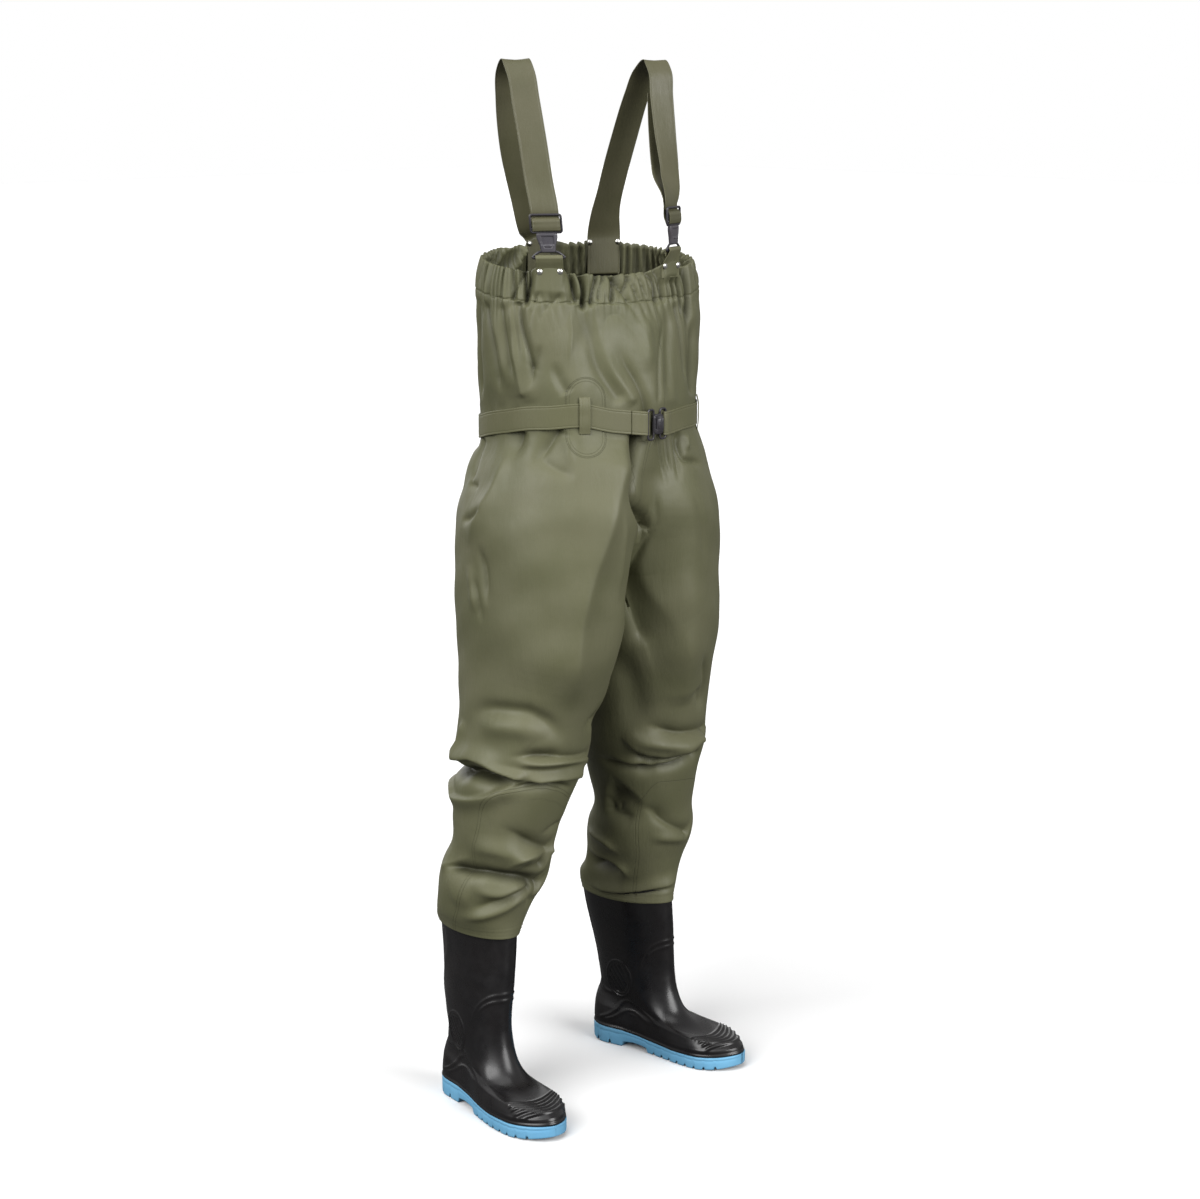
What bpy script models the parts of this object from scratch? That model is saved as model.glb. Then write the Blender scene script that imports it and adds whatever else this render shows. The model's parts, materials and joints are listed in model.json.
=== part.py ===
"""Safety chest wader: welded bib trousers with two safety boots, straps and belt.

All lengths are metres and +Z is up. The wearer faces -Y, so the wearer's right side is -X.
The wader stands empty on its soles in its worn form, on the plane z = 0.
"""
import math

import bmesh
import bpy
import numpy as np

MM = 0.001
GAP = 0.3 * MM

# Trousers
CLOTH_WALL = 1.2 * MM
SPLIT_Z = 0.900
CROTCH_Z = 0.800
LEG_END_Z = 0.262
SECTION_POWER = 2.25
LEG_FRONT_DEG = -35.0
LEG_BACK_DEG = 215.0
LEG_BLEND = 0.36
HALF_COLUMNS = 16
INNER_COLUMNS = 7

# Torso sections: mid height, half width, half depth, turn to the right in degrees, front lift
TORSO = (
    (0.900, 0.242, 0.172, 0.0, 0.000),
    (0.955, 0.240, 0.176, 0.0, 0.000),
    (1.015, 0.230, 0.174, 0.0, 0.001),
    (1.073, 0.208, 0.161, 1.0, 0.006),
    (1.126, 0.188, 0.146, 2.0, 0.013),
    (1.147, 0.188, 0.146, 2.0, 0.013),
    (1.168, 0.188, 0.146, 2.0, 0.013),
    (1.215, 0.195, 0.139, 4.0, 0.008),
    (1.270, 0.200, 0.130, 7.0, 0.000),
    (1.325, 0.202, 0.123, 9.0, -0.010),
    (1.356, 0.201, 0.119, 9.5, -0.014),
    (1.406, 0.197, 0.115, 10.0, -0.018),
)

# Rise of the waist where the belt pulls it: degrees from the front to the right, mm
WAIST_RISE = (
    (-180.0, 0.0),
    (-90.0, 0.0),
    (-50.0, -3.4),
    (-25.0, -6.0),
    (0.0, -8.5),
    (20.0, 2.0),
    (37.0, 14.6),
    (60.0, 15.5),
    (80.0, 13.0),
    (115.0, 1.5),
    (150.0, -1.0),
    (180.0, 0.0),
)
WAIST_Z = 1.150
WAIST_REACH = 0.070

# Leg sections: height, centre to the side, centre to the back, half width, half depth, toe-out turn
LEG = (
    (0.900, 0.118, -0.004, 0.120, 0.168, 0.0),
    (0.840, 0.120, -0.003, 0.117, 0.157, 0.0),
    (0.780, 0.122, -0.001, 0.114, 0.141, 0.0),
    (0.710, 0.128, 0.004, 0.111, 0.125, 0.0),
    (0.645, 0.137, 0.011, 0.108, 0.116, 1.0),
    (0.600, 0.144, 0.016, 0.108, 0.113, 2.0),
    (0.570, 0.149, 0.020, 0.104, 0.107, 2.5),
    (0.545, 0.153, 0.023, 0.098, 0.101, 3.0),
    (0.500, 0.160, 0.029, 0.089, 0.093, 4.0),
    (0.455, 0.166, 0.035, 0.083, 0.087, 5.0),
    (0.425, 0.170, 0.043, 0.087, 0.093, 6.0),
    (0.392, 0.174, 0.053, 0.085, 0.093, 7.0),
    (0.360, 0.177, 0.063, 0.076, 0.088, 8.0),
    (0.332, 0.178, 0.070, 0.062, 0.082, 9.0),
    (0.310, 0.1781, 0.0748, 0.0495, 0.0780, 9.0),
    (0.294, 0.1784, 0.0749, 0.0454, 0.0757, 9.0),
    (0.262, 0.1802, 0.0724, 0.0437, 0.0729, 9.0),
)

# Boots: heel point on the floor, toe-out turn, outsole length, wall
HEEL_X = 0.1777
HEEL_Y = 0.1495
TOE_OUT = 9.0
SOLE_LENGTH = 297.0 * MM
SOLE_EDGE = 2.5 * MM
BOOT_WALL = 2.6 * MM
BALL_HALF = 52.0
HEEL_ROUND = 0.13
TOE_ROUND = 0.21
BOOT_COLUMNS = 32
INSOLE_THICK = 4.0 * MM

# Foot outline: share of the length from the heel, outer half width, inner half width in mm
OUTLINE = (
    (0.00, 35.0, 35.0),
    (0.08, 36.0, 36.0),
    (0.15, 37.0, 37.0),
    (0.25, 38.0, 36.0),
    (0.38, 41.0, 35.0),
    (0.52, 48.0, 40.5),
    (0.65, 52.0, 48.0),
    (0.76, 51.0, 51.0),
    (0.86, 46.0, 49.0),
    (0.94, 41.0, 45.0),
    (1.00, 38.0, 42.0),
)

# Boot rings in mm: front along, front height, back along, back height, half width, foot share, side shift
BOOT_RINGS = (
    (290.5, 27.6, 3.5, 30.6, 51.5, 1.00, 0.0),
    (294.5, 36.0, 0.5, 42.0, 54.0, 1.00, 0.0),
    (293.0, 45.0, 0.0, 56.0, 53.5, 1.00, 0.0),
    (284.0, 53.0, 1.5, 70.0, 49.5, 0.95, 0.0),
    (261.0, 59.0, 5.0, 85.0, 44.0, 0.85, 0.0),
    (230.0, 65.0, 9.0, 100.0, 40.0, 0.68, 0.0),
    (200.0, 73.0, 12.0, 115.0, 39.0, 0.48, 0.0),
    (177.0, 87.0, 13.0, 129.0, 39.0, 0.28, 0.0),
    (163.0, 110.0, 13.0, 144.0, 40.0, 0.12, 0.0),
    (156.0, 141.0, 12.0, 163.0, 41.0, 0.00, -0.5),
    (153.5, 179.0, 10.0, 189.0, 43.0, 0.00, -2.5),
    (153.0, 220.0, 6.0, 221.0, 45.5, 0.00, -6.0),
    (153.0, 259.0, 0.5, 254.0, 47.5, 0.00, -9.5),
    (153.0, 292.0, -5.5, 285.0, 49.0, 0.00, -11.0),
)

# Sole heights in mm: share of the length, upper face, under face
SOLE_LEVELS = (
    (0.00, 30.0, 3.0),
    (0.04, 30.0, 0.0),
    (0.25, 29.5, 0.0),
    (0.28, 28.5, 4.0),
    (0.33, 26.5, 11.0),
    (0.39, 24.5, 9.0),
    (0.45, 23.0, 0.0),
    (0.62, 21.0, 0.0),
    (0.80, 22.0, 0.0),
    (0.91, 24.0, 3.0),
    (1.00, 27.0, 9.0),
)
LUG_DEPTH = 4.0
LUG_GROOVE = 5.0
GROOVES = (0.085, 0.170, 0.485, 0.545, 0.605, 0.665, 0.725, 0.785, 0.845)

# Belt and its loops; angles run from the front to the wearer's right
BELT_Z = 1.147
BELT_HEIGHT = 38.0 * MM
BELT_THICK = 1.8 * MM
BELT_OFF = 0.5 * MM
BUCKLE_DEG = -1.0
BUCKLE_HALF_DEG = 3.4
# Belt loops: name, angle, gap to the bib at both ends
LOOPS = (("belt_loop_right", 37.0, 0.4 * MM), ("belt_loop_left", -50.0, 1.2 * MM))
LOOP_WIDTH = 18.0 * MM
LOOP_HEIGHT = 58.0 * MM
LOOP_THICK = 1.4 * MM

# Shoulder straps
STRAP_WIDTH = 44.0 * MM
STRAP_THICK = 1.6 * MM
TAB_WIDTH = 43.0 * MM
RIVET_RADIUS = 4.6 * MM
RIVET_RISE = 2.2 * MM

# Strap rows: place x, y, z, turn of the outer face to the right, slack of the return ply behind it
STRAP_RIGHT = (
    (-0.1526, -0.0454, 1.5300, 40.0, 0.0040),
    (-0.1500, -0.0280, 1.5950, 40.0, 0.0040),
    (-0.1465, -0.0085, 1.6600, 40.0, 0.0040),
    (-0.1425, 0.0060, 1.7000, 40.0, 0.0),
    (-0.1370, 0.0245, 1.7190, 40.0, 0.0),
    (-0.1290, 0.0455, 1.7010, 40.0, 0.0),
    (-0.1200, 0.0565, 1.6600, 36.0, 0.0),
    (-0.1045, 0.0665, 1.5950, 32.0, 0.0),
    (-0.0630, 0.0850, 1.5050, 24.0, 0.0),
    (-0.0340, 0.1000, 1.4550, 10.0, 0.0),
)
STRAP_LEFT = (
    (0.0910, -0.0930, 1.5450, -5.0, 0.0180),
    (0.0990, -0.0750, 1.6050, 7.0, 0.0150),
    (0.1080, -0.0580, 1.6650, 13.0, 0.0080),
    (0.1130, -0.0490, 1.7020, 16.0, 0.0),
    (0.1150, -0.0350, 1.7180, 16.0, 0.0),
    (0.1140, -0.0170, 1.7030, 18.0, 0.0),
    (0.1120, 0.0010, 1.6650, 24.0, 0.0),
    (0.1110, 0.0280, 1.5980, 30.0, 0.0),
    (0.1100, 0.0560, 1.5200, 30.0, 0.0),
    (0.1110, 0.0740, 1.4620, 25.0, 0.0),
)
# Strap through the adjuster in mm: rise over the loop bar, outward
STRAP_WRAP = (
    (68.0, -4.6),
    (62.0, -4.8),
    (56.0, -3.8),
    (52.0, -1.5),
    (49.3, -0.6),
    (48.2, 2.4),
    (49.0, 5.2),
    (52.0, 6.0),
    (56.0, 5.6),
    (59.5, 2.6),
    (62.5, -0.8),
    (66.0, -1.4),
    (72.0, -1.5),
)
# Front tab round the loop bar in mm: rise over the bar, outward
TAB_WRAP = (
    (-4.0, 5.2),
    (-0.5, 6.3),
    (2.8, 4.8),
    (3.6, 2.2),
    (2.8, -0.4),
    (-0.5, -1.9),
    (-4.0, -1.2),
    (-10.0, -0.4),
)
# Strap sides: name, angle of the front tab, angle of the back end, its stand-off from the hollow of the wall,
# its width, height of the loop's bar over the rim, lean of the buckle to the left per rise, height of the front rivets
STRAP_SIDES = (
    ("right", 41.0, 175.0, 1.4 * MM, 46.0 * MM, 25.0 * MM, -0.085, 3.0 * MM),
    ("left", -24.0, 208.0, 3.6 * MM, 58.0 * MM, 33.0 * MM, 0.0, 7.0 * MM),
)
BACK_RISES = (13.0 * MM, 2.0 * MM, -10.0 * MM, -24.0 * MM, -48.0 * MM)
BACK_RIVET_RISE = 5.0 * MM
BACK_RIVET_EDGE = 5.2 * MM
FLARE_START = 0.145
FLARE_END = 0.055

GREEN = (0.135, 0.140, 0.075, 1.0)
STRAP_GREEN = (0.105, 0.110, 0.055, 1.0)
BLACK = (0.012, 0.012, 0.012, 1.0)
BLUE = (0.170, 0.480, 0.720, 1.0)
GREY = (0.300, 0.300, 0.290, 1.0)
STEEL = (0.620, 0.620, 0.600, 1.0)


def smooth_columns(rows, at):
    """Smoothly read every further column of a table at values of its first column."""
    data = np.asarray(rows, float)
    order = np.argsort(data[:, 0])
    key = data[order, 0]
    cols = data[order, 1:]
    slope = np.gradient(cols, key, axis=0)
    at = np.clip(np.asarray(at, float), key[0], key[-1])
    i = np.clip(np.searchsorted(key, at, side="right") - 1, 0, len(key) - 2)
    span = key[i + 1] - key[i]
    t = ((at - key[i]) / span)[..., None]
    span = span[..., None]
    a = (1 + 2 * t) * (1 - t) ** 2 * cols[i] + t * (1 - t) ** 2 * span * slope[i]
    return a + t * t * (3 - 2 * t) * cols[i + 1] + t * t * (t - 1) * span * slope[i + 1]


def linear_columns(rows, at):
    """Read every further column of a table along straight lines."""
    data = np.asarray(rows, float)
    return np.stack([np.interp(at, data[:, 0], data[:, c]) for c in range(1, data.shape[1])], -1)


def ease(t):
    """Blend from 0 to 1 with level ends."""
    t = np.clip(t, 0.0, 1.0)
    return t * t * (3 - 2 * t)


def turned(x, y, degrees):
    """Turn plan points so that the front swings to the wearer's right."""
    a = -np.radians(degrees)
    return x * np.cos(a) - y * np.sin(a), x * np.sin(a) + y * np.cos(a)


def paint(name, colour, rough, metal=0.0):
    """Make one plain material."""
    mat = bpy.data.materials.new(name)
    mat.use_nodes = True
    shader = mat.node_tree.nodes["Principled BSDF"]
    shader.inputs["Base Color"].default_value = colour
    shader.inputs["Roughness"].default_value = rough
    shader.inputs["Metallic"].default_value = metal
    mat.diffuse_color = colour
    return mat


def add_piece(name, points, faces, mat):
    """Add one closed body with its faces outward."""
    mesh = bpy.data.meshes.new(name)
    mesh.from_pydata([tuple(p) for p in points], [], [tuple(int(i) for i in f) for f in faces])
    bm = bmesh.new()
    bm.from_mesh(mesh)
    bmesh.ops.recalc_face_normals(bm, faces=bm.faces)
    if bm.calc_volume(signed=True) < 0:
        bmesh.ops.reverse_faces(bm, faces=bm.faces)
    bm.to_mesh(mesh)
    bm.free()
    mesh.materials.append(mat)
    obj = bpy.data.objects.new(name, mesh)
    bpy.context.scene.collection.objects.link(obj)
    return obj


def sweep_body(rings):
    """Faces of a closed body through rings of equal length, with both ends capped."""
    rings = np.asarray(rings)
    rows, cols = rings.shape[:2]
    faces = []
    for r in range(rows - 1):
        for c in range(cols):
            d = (c + 1) % cols
            faces.append((r * cols + c, r * cols + d, (r + 1) * cols + d, (r + 1) * cols + c))
    faces.append(tuple(range(cols)))
    faces.append(tuple((rows - 1) * cols + c for c in range(cols)))
    return rings.reshape(-1, 3), faces


def tube_wall(outer, inner):
    """Closed wall between an outer and an inner tube of rings, open at both ends."""
    rows, cols = outer.shape[:2]
    shift = rows * cols
    faces = []
    for r in range(rows - 1):
        for c in range(cols):
            d = (c + 1) % cols
            quad = (r * cols + c, r * cols + d, (r + 1) * cols + d, (r + 1) * cols + c)
            faces.append(quad)
            faces.append(tuple(shift + i for i in reversed(quad)))
    for r in (0, rows - 1):
        for c in range(cols):
            d = (c + 1) % cols
            faces.append((r * cols + c, r * cols + d, shift + r * cols + d, shift + r * cols + c))
    return np.concatenate([outer.reshape(-1, 3), inner.reshape(-1, 3)]), faces


def torso_place(phi, mid_z):
    """Place on the torso at an angle from the front centre and a mid height."""
    phi, mid_z = np.broadcast_arrays(np.asarray(phi, float), np.asarray(mid_z, float))
    row = smooth_columns(TORSO, mid_z)
    s, c = np.sin(phi), np.cos(phi)
    k = 2.0 / SECTION_POWER
    x = -row[..., 0] * np.sign(s) * np.abs(s) ** k
    y = -row[..., 1] * np.sign(c) * np.abs(c) ** k
    x, y = turned(x, y, row[..., 2])
    degrees = (np.degrees(phi) + 180.0) % 360.0 - 180.0
    rise = smooth_columns(WAIST_RISE, degrees)[..., 0] * MM * np.exp(-((mid_z - WAIST_Z) / WAIST_REACH) ** 2)
    return np.stack([x, y, mid_z + row[..., 3] * c + rise], -1)


def leg_place(psi, z):
    """Place on the right leg's own section at an angle from the front and a height."""
    row = smooth_columns(LEG, z)
    x = -row[..., 2] * np.sin(psi)
    y = -row[..., 3] * np.cos(psi)
    x, y = turned(x, y, row[..., 4])
    return np.stack([x - row[..., 0], y + row[..., 1], z], -1)


def leg_grid(heights):
    """Right leg rings from the split downward: outer columns first, then the inner ones."""
    u = np.linspace(0.0, 1.0, HALF_COLUMNS + 1)
    w = np.arange(1, INNER_COLUMNS + 1) / (INNER_COLUMNS + 1)
    top_outer = torso_place(np.pi * u, SPLIT_Z)
    half_depth = TORSO[0][2]
    top_inner = np.stack([
        np.zeros_like(w),
        half_depth * np.cos(np.pi * w),
        SPLIT_Z - (SPLIT_Z - CROTCH_Z) * np.sin(np.pi * w),
    ], -1)
    top = np.concatenate([top_outer, top_inner])
    psi = np.radians(np.concatenate([
        LEG_FRONT_DEG + (LEG_BACK_DEG - LEG_FRONT_DEG) * u,
        LEG_BACK_DEG + (360.0 + LEG_FRONT_DEG - LEG_BACK_DEG) * w,
    ]))
    v = ((SPLIT_Z - np.asarray(heights)) / (SPLIT_Z - LEG_END_Z))[:, None]
    z = top[None, :, 2] + (LEG_END_Z - top[None, :, 2]) * v
    own = leg_place(np.broadcast_to(psi, z.shape), z)
    m = ease(v / LEG_BLEND)
    own[..., :2] = top[None, :, :2] * (1 - m[..., None]) + own[..., :2] * m[..., None]
    return own


def build_trousers(mat):
    """One welded shell: bib, hips and two legs, open at the hem and at both leg ends."""
    full = 2 * HALF_COLUMNS
    phi = np.arange(full) * np.pi / HALF_COLUMNS
    mids = [row[0] for row in TORSO]
    torso = np.stack([torso_place(phi, z) for z in mids])
    right = leg_grid([row[0] for row in LEG])
    points = [torso.reshape(-1, 3)]
    faces = []
    for r in range(len(mids) - 1):
        for c in range(full):
            d = (c + 1) % full
            faces.append((r * full + c, r * full + d, (r + 1) * full + d, (r + 1) * full + c))
    start = len(mids) * full
    crotch = [start + i for i in range(INNER_COLUMNS)]
    points.append(right[0, HALF_COLUMNS + 1:])
    start += INNER_COLUMNS
    ring = HALF_COLUMNS + 1 + INNER_COLUMNS
    ends = []
    for side in (1, -1):
        above = [(side * k) % full for k in range(HALF_COLUMNS + 1)] + crotch
        for r in range(1, len(right)):
            points.append(right[r] * (side, 1.0, 1.0))
            below = [start + i for i in range(ring)]
            start += ring
            for c in range(ring):
                d = (c + 1) % ring
                faces.append((above[c], above[d], below[d], below[c]))
            above = below
        ends.append(above)
    ends.append([(len(mids) - 1) * full + c for c in range(full)])
    outer = np.concatenate(points)
    bm = bmesh.new()
    verts = [bm.verts.new(p) for p in outer]
    for f in faces:
        bm.faces.new([verts[i] for i in f])
    bmesh.ops.recalc_face_normals(bm, faces=bm.faces)
    bm.normal_update()
    normal = np.array([v.normal[:] for v in bm.verts])
    bm.free()
    middle = np.array([0.0, 0.0, 1.05])
    probe = int(np.argmax(outer[:, 0]))
    if normal[probe] @ (outer[probe] - middle) < 0:
        normal = -normal
    inner = outer - normal * CLOTH_WALL
    shift = len(outer)
    body = list(faces) + [tuple(shift + i for i in reversed(f)) for f in faces]
    for loop in ends:
        for c in range(len(loop)):
            d = (c + 1) % len(loop)
            body.append((loop[c], loop[d], shift + loop[d], shift + loop[c]))
    return add_piece("trousers", np.concatenate([outer, inner]), body, mat)


def outline_half(t, inner_side):
    """Half width of the foot outline in mm at a share of its length, with round ends."""
    cols = smooth_columns(OUTLINE, t)
    heel = np.clip((HEEL_ROUND - t) / HEEL_ROUND, 0.0, 1.0)
    toe = np.clip((t - 1.0 + TOE_ROUND) / TOE_ROUND, 0.0, 1.0)
    cap = np.sqrt(np.clip(1 - heel ** 2, 0, 1)) * np.sqrt(np.clip(1 - toe ** 2, 0, 1))
    return np.where(inner_side, cols[..., 1], cols[..., 0]) * cap


def sole_levels(along):
    """Upper and under face heights of the sole in mm at a place along it in mm."""
    share = np.asarray(along, float) * MM / SOLE_LENGTH
    a = np.linspace(0.0, np.pi, BOOT_COLUMNS // 2 + 1)
    front, back = BOOT_RINGS[0][0], BOOT_RINGS[0][2]
    knots = (back + (front - back) * (1 - np.cos(a)) / 2) * MM / SOLE_LENGTH
    knots = np.concatenate([[0.0], knots, [1.0]])
    upper = np.interp(share, knots, linear_columns(SOLE_LEVELS, knots)[:, 0])
    return np.stack([upper, linear_columns(SOLE_LEVELS, share)[..., 1]], -1)


def boot_world(sizes, side):
    """Turn boot sizes in mm (from the heel, outward, up) into places of one boot."""
    a = math.radians(TOE_OUT)
    along, aside, height = np.moveaxis(np.asarray(sizes, float) * MM, -1, 0)
    x = HEEL_X + along * math.sin(a) + aside * math.cos(a)
    y = HEEL_Y - along * math.cos(a) + aside * math.sin(a)
    return np.stack([side * x, y, height], -1)


def boot_rings(inset):
    """Boot rings in mm (along, aside, height), each moved inward by an inset in mm."""
    a = np.linspace(0.0, 2 * np.pi, BOOT_COLUMNS, endpoint=False)
    t = (1 - np.cos(a)) / 2
    inner = a > np.pi
    sign = np.where(inner, -1.0, 1.0)
    foot = sign * outline_half(t, inner) / BALL_HALF
    rings = []
    for r, (ff, fz, bf, bz, half, share, shift) in enumerate(BOOT_RINGS):
        fade = max(0.0, 1.0 - r / 3.0)
        ff, bf, half = ff - inset, bf + inset, half - inset
        along = bf + (ff - bf) * t
        level = sole_levels(along)[..., 0] + GAP / MM - (bz + (fz - bz) * t)
        aside = half * (share * foot + (1 - share) * np.sin(a)) + shift
        height = bz + (fz - bz) * t + fade * level
        rings.append(np.stack([along, aside, height], -1))
    return np.stack(rings)


def build_boot(label, side, black, blue, grey):
    """One boot: hollow upper, outsole with heel, arch, toe spring and lugs, and an insole."""
    outer = boot_rings(0.0)
    inner = boot_rings(BOOT_WALL / MM)
    add_piece(f"boot_{label}_upper", *tube_wall(boot_world(outer, side), boot_world(inner, side)), black)

    length = SOLE_LENGTH / MM
    edge = SOLE_EDGE / MM
    stations = [(t, 0.0) for t in (1 - np.cos(np.linspace(0.06, np.pi - 0.06, 27))) / 2]
    nick = 0.3 / length
    reach = LUG_GROOVE / length / 2
    stations = [s for s in stations if min(abs(s[0] - g) for g in GROOVES) > reach * 1.5]
    for g in GROOVES:
        stations += [(g - reach - nick, 0.0), (g - reach, LUG_DEPTH)]
        stations += [(g + reach, LUG_DEPTH), (g + reach + nick, 0.0)]
    stations += [(row[0], 0.0) for row in SOLE_LEVELS[1:-1]
                 if min(abs(row[0] - g) for g in GROOVES) > reach * 1.5]
    stations = sorted(set(stations))
    rings = []
    for t, lug in stations:
        top, under = sole_levels(t * length)
        low = under + lug
        out = float(outline_half(np.array(t), np.array(False))) + edge
        inn = float(outline_half(np.array(t), np.array(True))) + edge
        at = t * length
        rings.append([(at, out, top), (at, out - 1.0, low), (at, 1.0 - inn, low), (at, -inn, top)])
    add_piece(f"boot_{label}_outsole", *sweep_body(boot_world(rings, side)), blue)

    lift = GAP / MM
    trim = BOOT_WALL / MM + 1.2
    rings = []
    for t in (1 - np.cos(np.linspace(0.12, np.pi - 0.12, 21))) / 2:
        at = 3.5 + trim + (287.0 - 2 * trim) * t
        top = float(sole_levels(at)[0]) + lift
        out = float(outline_half(np.array(t), np.array(False))) * (BALL_HALF - trim) / BALL_HALF - 0.5
        inn = float(outline_half(np.array(t), np.array(True))) * (BALL_HALF - trim) / BALL_HALF - 0.5
        rings.append([(at, out, top + INSOLE_THICK / MM), (at, out, top), (at, -inn, top),
                      (at, -inn, top + INSOLE_THICK / MM)])
    add_piece(f"boot_{label}_insole", *sweep_body(boot_world(rings, side)), grey)


def torso_normal(phi, mid_z):
    """Level outward direction of the torso section."""
    d = 0.01
    a = torso_place(np.asarray(phi) - d, mid_z)
    b = torso_place(np.asarray(phi) + d, mid_z)
    t = b - a
    n = np.stack([t[..., 1], -t[..., 0], np.zeros_like(t[..., 0])], -1)
    n /= np.linalg.norm(n, axis=-1, keepdims=True)
    flip = np.sign(np.sum(n * (a + b), axis=-1, keepdims=True))
    return n * flip


def build_belt(mat):
    """Flat band round the waist with its two ends at the buckle."""
    step = np.pi / HALF_COLUMNS
    first = math.radians(BUCKLE_DEG + BUCKLE_HALF_DEG)
    last = math.radians(BUCKLE_DEG - BUCKLE_HALF_DEG) + 2 * np.pi
    inner = [k * step for k in range(2 * HALF_COLUMNS + 1) if first + 0.03 < k * step < last - 0.03]
    phi = np.array([first] + inner + [last])
    rings = []
    far = BELT_OFF + BELT_THICK
    for off, rise in ((BELT_OFF, 1), (far, 1), (far, -1), (BELT_OFF, -1)):
        place = torso_place(phi, BELT_Z) + torso_normal(phi, BELT_Z) * off
        place[:, 2] += rise * BELT_HEIGHT / 2
        rings.append(place)
    return add_piece("belt", *sweep_body(np.stack(rings, 1)), mat)


def torso_frame(deg, mid_z, slant=0.0):
    """Place, leftward tangent, upright that may lean along it, and outward direction on the torso."""
    phi = math.radians(deg)
    place = torso_place(np.array(phi), np.array(mid_z))
    out = torso_normal(np.array(phi), np.array(mid_z))
    up = np.array([0.0, 0.0, 1.0])
    tangent = np.cross(up, out)
    return place, tangent, up + slant * tangent, out


def lean(frame, deg, mid_z):
    """How far outward of a frame the torso lies at another mid height."""
    return float((torso_place(np.array(math.radians(deg)), np.array(mid_z)) - frame[0]) @ frame[3])


def in_frame(frame, across, rise, off):
    """World places of sizes across, up and outward in a frame."""
    place, tangent, up, out = frame
    across, rise, off = (np.asarray(v, float)[..., None] for v in np.broadcast_arrays(across, rise, off))
    return place + across * tangent + rise * up + off * out


def ribbon_in_frame(name, frame, path, width, thick, mat):
    """Flat band of a frame along a path of (rise, off) sizes."""
    path = np.asarray(path, float)
    step = np.gradient(path, axis=0)
    step /= np.linalg.norm(step, axis=1, keepdims=True)
    normal = np.stack([-step[:, 1], step[:, 0]], -1) * thick / 2
    front, rear = path + normal, path - normal
    rings = np.stack([
        in_frame(frame, -width / 2, front[:, 0], front[:, 1]),
        in_frame(frame, width / 2, front[:, 0], front[:, 1]),
        in_frame(frame, width / 2, rear[:, 0], rear[:, 1]),
        in_frame(frame, -width / 2, rear[:, 0], rear[:, 1]),
    ], 1)
    return add_piece(name, *sweep_body(rings), mat)


def cell_plate(name, frame, across, rise, filled, off, thick, mat):
    """Plate of a frame made of the filled cells between cut lines; empty cells are windows."""
    rows, cols = len(rise) - 1, len(across) - 1
    solid = np.array([[ch == "x" for ch in line] for line in filled])[::-1]
    points = []
    for depth in (off, off + thick):
        for r in rise:
            for a in across:
                points.append(in_frame(frame, a, r, depth))
    index = np.arange(len(points)).reshape(2, rows + 1, cols + 1)
    faces = []
    for r in range(rows):
        for c in range(cols):
            if not solid[r, c]:
                continue
            for layer in (0, 1):
                faces.append((index[layer, r, c], index[layer, r, c + 1],
                              index[layer, r + 1, c + 1], index[layer, r + 1, c]))
            around = ((0, -1, (r, c), (r + 1, c)), (0, 1, (r, c + 1), (r + 1, c + 1)),
                      (-1, 0, (r, c), (r, c + 1)), (1, 0, (r + 1, c), (r + 1, c + 1)))
            for dr, dc, p, q in around:
                rr, cc = r + dr, c + dc
                if 0 <= rr < rows and 0 <= cc < cols and solid[rr, cc]:
                    continue
                faces.append((index[0][p], index[0][q], index[1][q], index[1][p]))
    used = sorted({i for f in faces for i in f})
    again = {old: new for new, old in enumerate(used)}
    points = [points[i] for i in used]
    return add_piece(name, points, [tuple(again[i] for i in f) for f in faces], mat)


def dome(name, place, axis, radius, rise, mat):
    """Low domed rivet head with a flat back."""
    axis = np.asarray(axis) / np.linalg.norm(axis)
    side = np.cross(axis, (0.0, 0.0, 1.0))
    side /= np.linalg.norm(side)
    other = np.cross(axis, side)
    a = np.linspace(0, 2 * np.pi, 12, endpoint=False)[:, None]
    rings = []
    for r, h in ((1.0, 0.0), (0.94, 0.45), (0.55, 0.92)):
        rings.append(place + radius * r * (np.cos(a) * side + np.sin(a) * other) + rise * h * axis)
    return add_piece(name, *sweep_body(np.stack(rings)), mat)


def ribbon(name, rows, width, end_width, thick, mat, stations):
    """Flat band through smooth rows of place and face turn, finer where rows are close, wider at its last end."""
    rows = np.asarray(rows, float)
    step = np.linalg.norm(np.diff(rows[:, :3], axis=0), axis=1)
    key = np.concatenate([[0.0], np.cumsum(step)])
    at = np.interp(np.linspace(0.0, len(rows) - 1.0, stations), np.arange(len(rows)), key)
    cols = smooth_columns(np.column_stack([key, rows]), at)
    place = cols[:, :3]
    turn = np.radians(cols[:, 3])
    tangent = np.gradient(place, at, axis=0)
    tangent /= np.linalg.norm(tangent, axis=1, keepdims=True)
    level = np.stack([np.cos(turn), -np.sin(turn), np.zeros_like(turn)], -1)
    level -= tangent * np.sum(level * tangent, axis=1, keepdims=True)
    level /= np.linalg.norm(level, axis=1, keepdims=True)
    face = np.cross(level, tangent)
    wide = width + (end_width - width) * ease((FLARE_START - at[-1] + at) / (FLARE_START - FLARE_END))
    half = level * wide[:, None] / 2
    deep = face * thick / 2
    rings = np.stack([place - half + deep, place + half + deep, place + half - deep, place - half - deep], 1)
    return add_piece(name, *sweep_body(rings), mat)


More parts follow.
